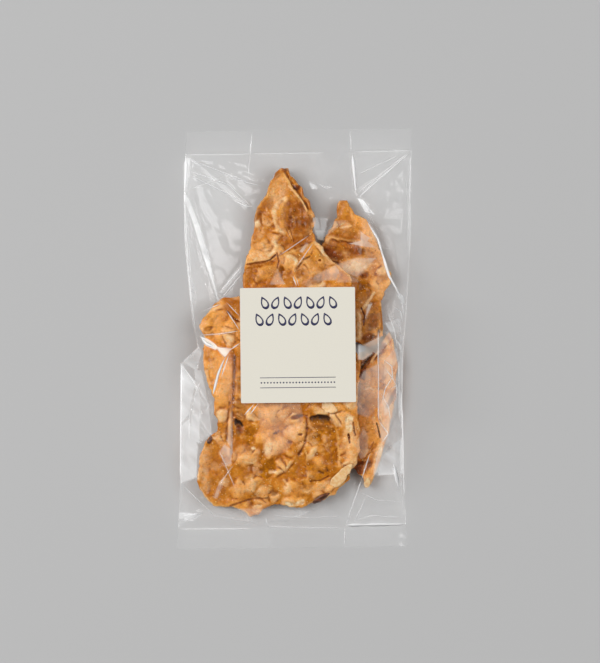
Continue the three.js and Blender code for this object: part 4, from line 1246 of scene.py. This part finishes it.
# The film is one closed tube. Each cross row runs over the front, in and out of the right gusset,
# back under the contents, and in and out of the left gusset.
def makeFilm():
    bandRows, bodyRows = film["rows"]
    band = np.linspace(film["end"], film["seal"] + 0.6, bandRows)
    row = np.concatenate([-band, np.linspace(-film["seal"], film["seal"], bodyRows), band[::-1]])[:, None]
    left, right = foldsAt(row)
    front, layer, back = film["columns"]
    acrossFront = np.linspace(0, 1, front + 1)[None, :]
    acrossLayer = np.linspace(0, 1, layer + 1)[None, 1:-1]
    acrossBack = np.linspace(1, 0, back + 1)[None, :]
    frontX = left + (right - left) * acrossFront
    frontY = yAt(frontX, row)
    frontZ = frontAt(frontX, frontY)
    backX = left + (right - left) * acrossBack
    backZ = film["backHeight"] + 0.12 * smoothNoise(backX, row + 0 * backX, 7, 9)
    pastSeal = film["seal"] - np.abs(row) <= 0

    # The inner fold hangs between the contents and the front, and two layers run from it out to
    # the side fold. They are lifted over the contents, and kept a gap apart under the front.
    def gusset(key, outer):
        gap = 0.1
        fold = innerFold(key, row)
        foldTop = frontAt(fold, yAt(fold, row))
        resting = restingAt(fold, yAt(fold, row))
        foldZ = blurRows(0.35 * resting + 0.65 * (foldTop - 0.4), 6)
        foldZ = np.where(pastSeal, film["bandTop"] * 0.55, foldZ)
        layerX = outer + (fold - outer) * acrossLayer
        layerY = yAt(layerX, row)
        outerTop, outerLow = foldHeight(row), film["backHeight"] + gap
        lowest = np.where(pastSeal, 0, restingAt(layerX, layerY) - 0.25)
        upper = outerTop + (foldZ - outerTop) * acrossLayer ** 0.7
        upper = np.minimum(np.maximum(upper, lowest + gap), frontAt(layerX, layerY) - 0.12)
        lower = outerLow + (foldZ - outerLow) * acrossLayer ** 0.6
        lower = np.minimum(np.maximum(lower, lowest), upper - gap)
        upper = np.maximum(upper, outerLow + gap)
        foldZ = np.minimum(np.maximum(foldZ, np.where(pastSeal, 0, resting - 0.2)), foldTop - 0.15)
        return [layerX, fold, layerX[:, ::-1]], upper, foldZ, lower

    rightX, rightUp, rightFoldZ, rightLow = gusset("rightInner", right)
    leftX, leftUp, leftFoldZ, leftLow = gusset("leftInner", left)
    x = np.hstack([frontX, *rightX, backX, *leftX])
    z = np.hstack([frontZ, rightUp, rightFoldZ, rightLow[:, ::-1],
                   backZ, leftLow, leftFoldZ, leftUp[:, ::-1]])
    y = yAt(x, row)
    hazeAndReflection = np.full(x.shape, film["hazeAndReflection"])
    hazeAndReflection[:, :front + 1] = hazeAndReflectionAt(frontX, frontY)
    hazeAndReflection = np.where(np.abs(row) > film["seal"], np.maximum(hazeAndReflection, film["bandHaze"]), hazeAndReflection)
    shine = np.full(x.shape, film["innerShine"])
    cling = film["clingShine"]
    shine[:, :front + 1] = cling + (1 - cling) * sample(slack, frontX, frontY)
    columns = x.shape[1]
    points = np.stack([x, y, z], axis=-1).reshape(-1, 3)
    faces = gridFaces(len(row), columns)[:, ::-1].tolist()
    faces.append(list(range(columns)))
    faces.append(list(range(len(points) - 1, len(points) - 1 - columns, -1)))
    piece = addMesh("film_bag", points, faces, filmMaterial, {"hazeAndReflection": hazeAndReflection, "shine": shine})
    folds = np.cumsum([0, front, layer, layer, back, layer])
    sharpenFolds(piece.data, columns, folds)
    piece.visible_shadow = False  # thin clear film throws next to none
    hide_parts("bag")


# A ridge is a low roof carried along its line over the film: each cross-section has its two feet,
# its crest above and a point just under the film. It tapers at both ends.
def ridgeShape(hazeAndReflection, startWidth, endWidth, corners):
    corners = np.array(corners, float)
    along = np.concatenate([[0], np.cumsum(np.hypot(*np.diff(corners, axis=0).T))])
    stations = np.linspace(0, along[-1], max(4, int(along[-1] / 0.8)))
    x, y = np.interp(stations, along, corners[:, 0]), np.interp(stations, along, corners[:, 1])
    dx, dy = np.gradient(x), np.gradient(y)
    tx, ty = dx / np.hypot(dx, dy), dy / np.hypot(dx, dy)
    width = np.interp(stations, [0, along[-1]], [startWidth, endWidth])
    taper = np.clip(np.minimum(stations, along[-1] - stations) / 3, 0.08, 1)
    half = 0.5 * width * taper * (0.7 + 0.6 * smoothNoise(x, y, 4, 15))
    offset = np.array([1, 0, -1, 0])[None, :] * half[:, None]
    px, py = x[:, None] - ty[:, None] * offset, y[:, None] + tx[:, None] * offset
    up = np.array([0.02, 0.45, 0.02, 0])[None, :] * half[:, None]
    pz = frontAt(px, py) + up + np.array([0.03, 0.03, 0.03, 0.01])[None, :]
    last = 4 * len(stations) - 4
    caps = [[0, 1, 2, 3], [last + n for n in (3, 2, 1, 0)]]
    faces = gridFaces(len(stations), 4).tolist() + caps
    return np.stack([px, py, pz], axis=-1).reshape(-1, 3), faces, np.full(px.size, hazeAndReflection)


makeFilm()
points, faces, hazeAndReflection = joinParts([ridgeShape(*ridge) for ridge in ridges])
creasePiece = addMesh("film_creases", points, faces, filmMaterial,
                      {"hazeAndReflection": hazeAndReflection, "shine": 0 * hazeAndReflection + 1}, merge=0.001)
creasePiece.visible_shadow = False

# The label keeps its CAD sheet. Its print is thin rules, a row of dots and rows of almonds.
labelPrint = {
    "turn": 0.6, "thickness": 0.03,
    "rules": ((-16.9, 16.5, -14.3), (-16.9, 16.5, -18.7)), "ruleWidth": 0.28,
    "dots": (-16.3, 15.9, -16.5, 24), "dotRadius": 0.36,
    "rows": ((-14.6, 15.4, 18.8, 7), (-17.1, 12.9, 11.4, 7)),  # first x, last x, y, how many
    "almond": (3.0, 2.1, 0.75),  # half length, half width, line width
    "lean": 24,
}


# A thin closed plate: an outline, and the same outline inset or shrunk to a point, above and below.
def plateShape(outer, innerLine, low, high):
    sides = [(outer, low), (outer, high), (innerLine, high), (innerLine, low)]
    ring = np.stack([np.column_stack([line, np.full(len(line), z)]) for line, z in sides], axis=1)
    ring = np.concatenate([ring, ring[:1]])
    return ring.reshape(-1, 3), gridFaces(len(ring), 4).tolist(), np.zeros(4 * len(ring))


# An almond's outline: an ellipse whose width is drawn in to a point at one end.
def almondLine(half, wide):
    t = np.linspace(0, 2 * math.pi, 36, endpoint=False)
    return np.column_stack([wide * np.sin(t) * np.abs(np.sin(t / 2)) ** 0.8, half * np.cos(t)])


def printLabel():
    lo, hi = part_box("label")
    middle = np.array([(lo[0] + hi[0]) / 2, (lo[1] + hi[1]) / 2]) / mm
    low, high = hi[2] / mm - 0.01, hi[2] / mm + labelPrint["thickness"]
    parts = []
    for x0, x1, y in labelPrint["rules"]:
        h = labelPrint["ruleWidth"] / 2
        box = np.array([(x0, y - h), (x1, y - h), (x1, y + h), (x0, y + h)])
        parts.append(plateShape(box, 0 * box + box.mean(axis=0), low, high))
    first, last, y, count = labelPrint["dots"]
    t = np.linspace(0, 2 * math.pi, 10, endpoint=False)
    circle = labelPrint["dotRadius"] * np.column_stack([np.cos(t), np.sin(t)])
    for x in np.linspace(first, last, count):
        parts.append(plateShape(circle + (x, y), 0 * circle + (x, y), low, high))
    half, wide, line = labelPrint["almond"]
    for first, last, y, count in labelPrint["rows"]:
        for number, x in enumerate(np.linspace(first, last, count)):
            lean = math.radians(labelPrint["lean"] * (-1) ** number)
            matrix = np.array([[math.cos(lean), math.sin(lean)], [-math.sin(lean), math.cos(lean)]])
            outer = almondLine(half, wide) @ matrix
            inside = almondLine(half - 1.5 * line, wide - line) @ matrix
            parts.append(plateShape(outer + (x, y), inside + (x, y), low, high))
    points, faces, values = joinParts(parts)
    turn = math.radians(labelPrint["turn"])
    x, y = points[:, 0].copy(), points[:, 1].copy()
    points[:, 0] = middle[0] + x * math.cos(turn) - y * math.sin(turn)
    points[:, 1] = middle[1] + x * math.sin(turn) + y * math.cos(turn)
    addMesh("label_print", points, faces, inkMaterial, merge=0.002)


print("stage: label")
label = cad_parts["label"]
label.data.materials.clear()
label.data.materials.append(paperMaterial)
printLabel()

studio = {
    "floor": "c5c5c5", "surround": 0.16,
    "cameraHeight": 2000.0, "centre": (1.8, 3.3), "frameHeight": 295.4,
    # name: place, size, watts
    "lamps": {
        "key_box": ((-1824, 470, 2588), (1800, 1800), 54),
        "right_box": ((1880, 200, 2588), (1800, 1800), 36),
        "bright_box": ((-2500, 500, 960), (600, 600), 16),
    },
}


def makeStudio():
    scene = bpy.context.scene
    scene.view_settings.view_transform = "Standard"
    world = bpy.data.worlds.new("surround")
    world.use_nodes = True
    world.node_tree.nodes["Background"].inputs[0].default_value = (studio["surround"],) * 3 + (1,)
    scene.world = world
    for name, (place, size, watts) in studio["lamps"].items():
        lamp = bpy.data.lights.new(name, "AREA")
        lamp.shape, lamp.size, lamp.size_y, lamp.energy = "RECTANGLE", size[0] * mm, size[1] * mm, watts
        holder = bpy.data.objects.new(name, lamp)
        holder.location = [v * mm for v in place]
        holder.rotation_euler = (-holder.location).to_track_quat("-Z", "Y").to_euler()
        holder.visible_camera = False
        scene.collection.objects.link(holder)

    mesh = bpy.data.meshes.new("floor")
    half, z = 6.0, -0.0002  # just under the bag
    corners = [(-half, -half, z), (half, -half, z), (half, half, z), (-half, half, z)]
    mesh.from_pydata(corners, [], [(0, 1, 2, 3)])
    floor = bpy.data.objects.new("floor", mesh)
    board = newMaterial("matt_board")
    shader = addNode(board.node_tree, "ShaderNodeBsdfDiffuse", 0, {"Color": linear(studio["floor"])})
    addNode(board.node_tree, "ShaderNodeOutputMaterial", None, {"Surface": shader})
    mesh.materials.append(board)
    scene.collection.objects.link(floor)

    data = bpy.data.cameras.new("camera")
    data.sensor_width = 36
    data.lens = 36 * studio["cameraHeight"] / studio["frameHeight"]
    data.clip_end = 50
    camera = bpy.data.objects.new("camera", data)
    camera.location = [studio["centre"][0] * mm, studio["centre"][1] * mm, studio["cameraHeight"] * mm]
    scene.collection.objects.link(camera)
    scene.camera = camera
    scene.cycles.transparent_max_bounces = 32


print("stage: studio")
makeStudio()
bpy.context.view_layer.update()
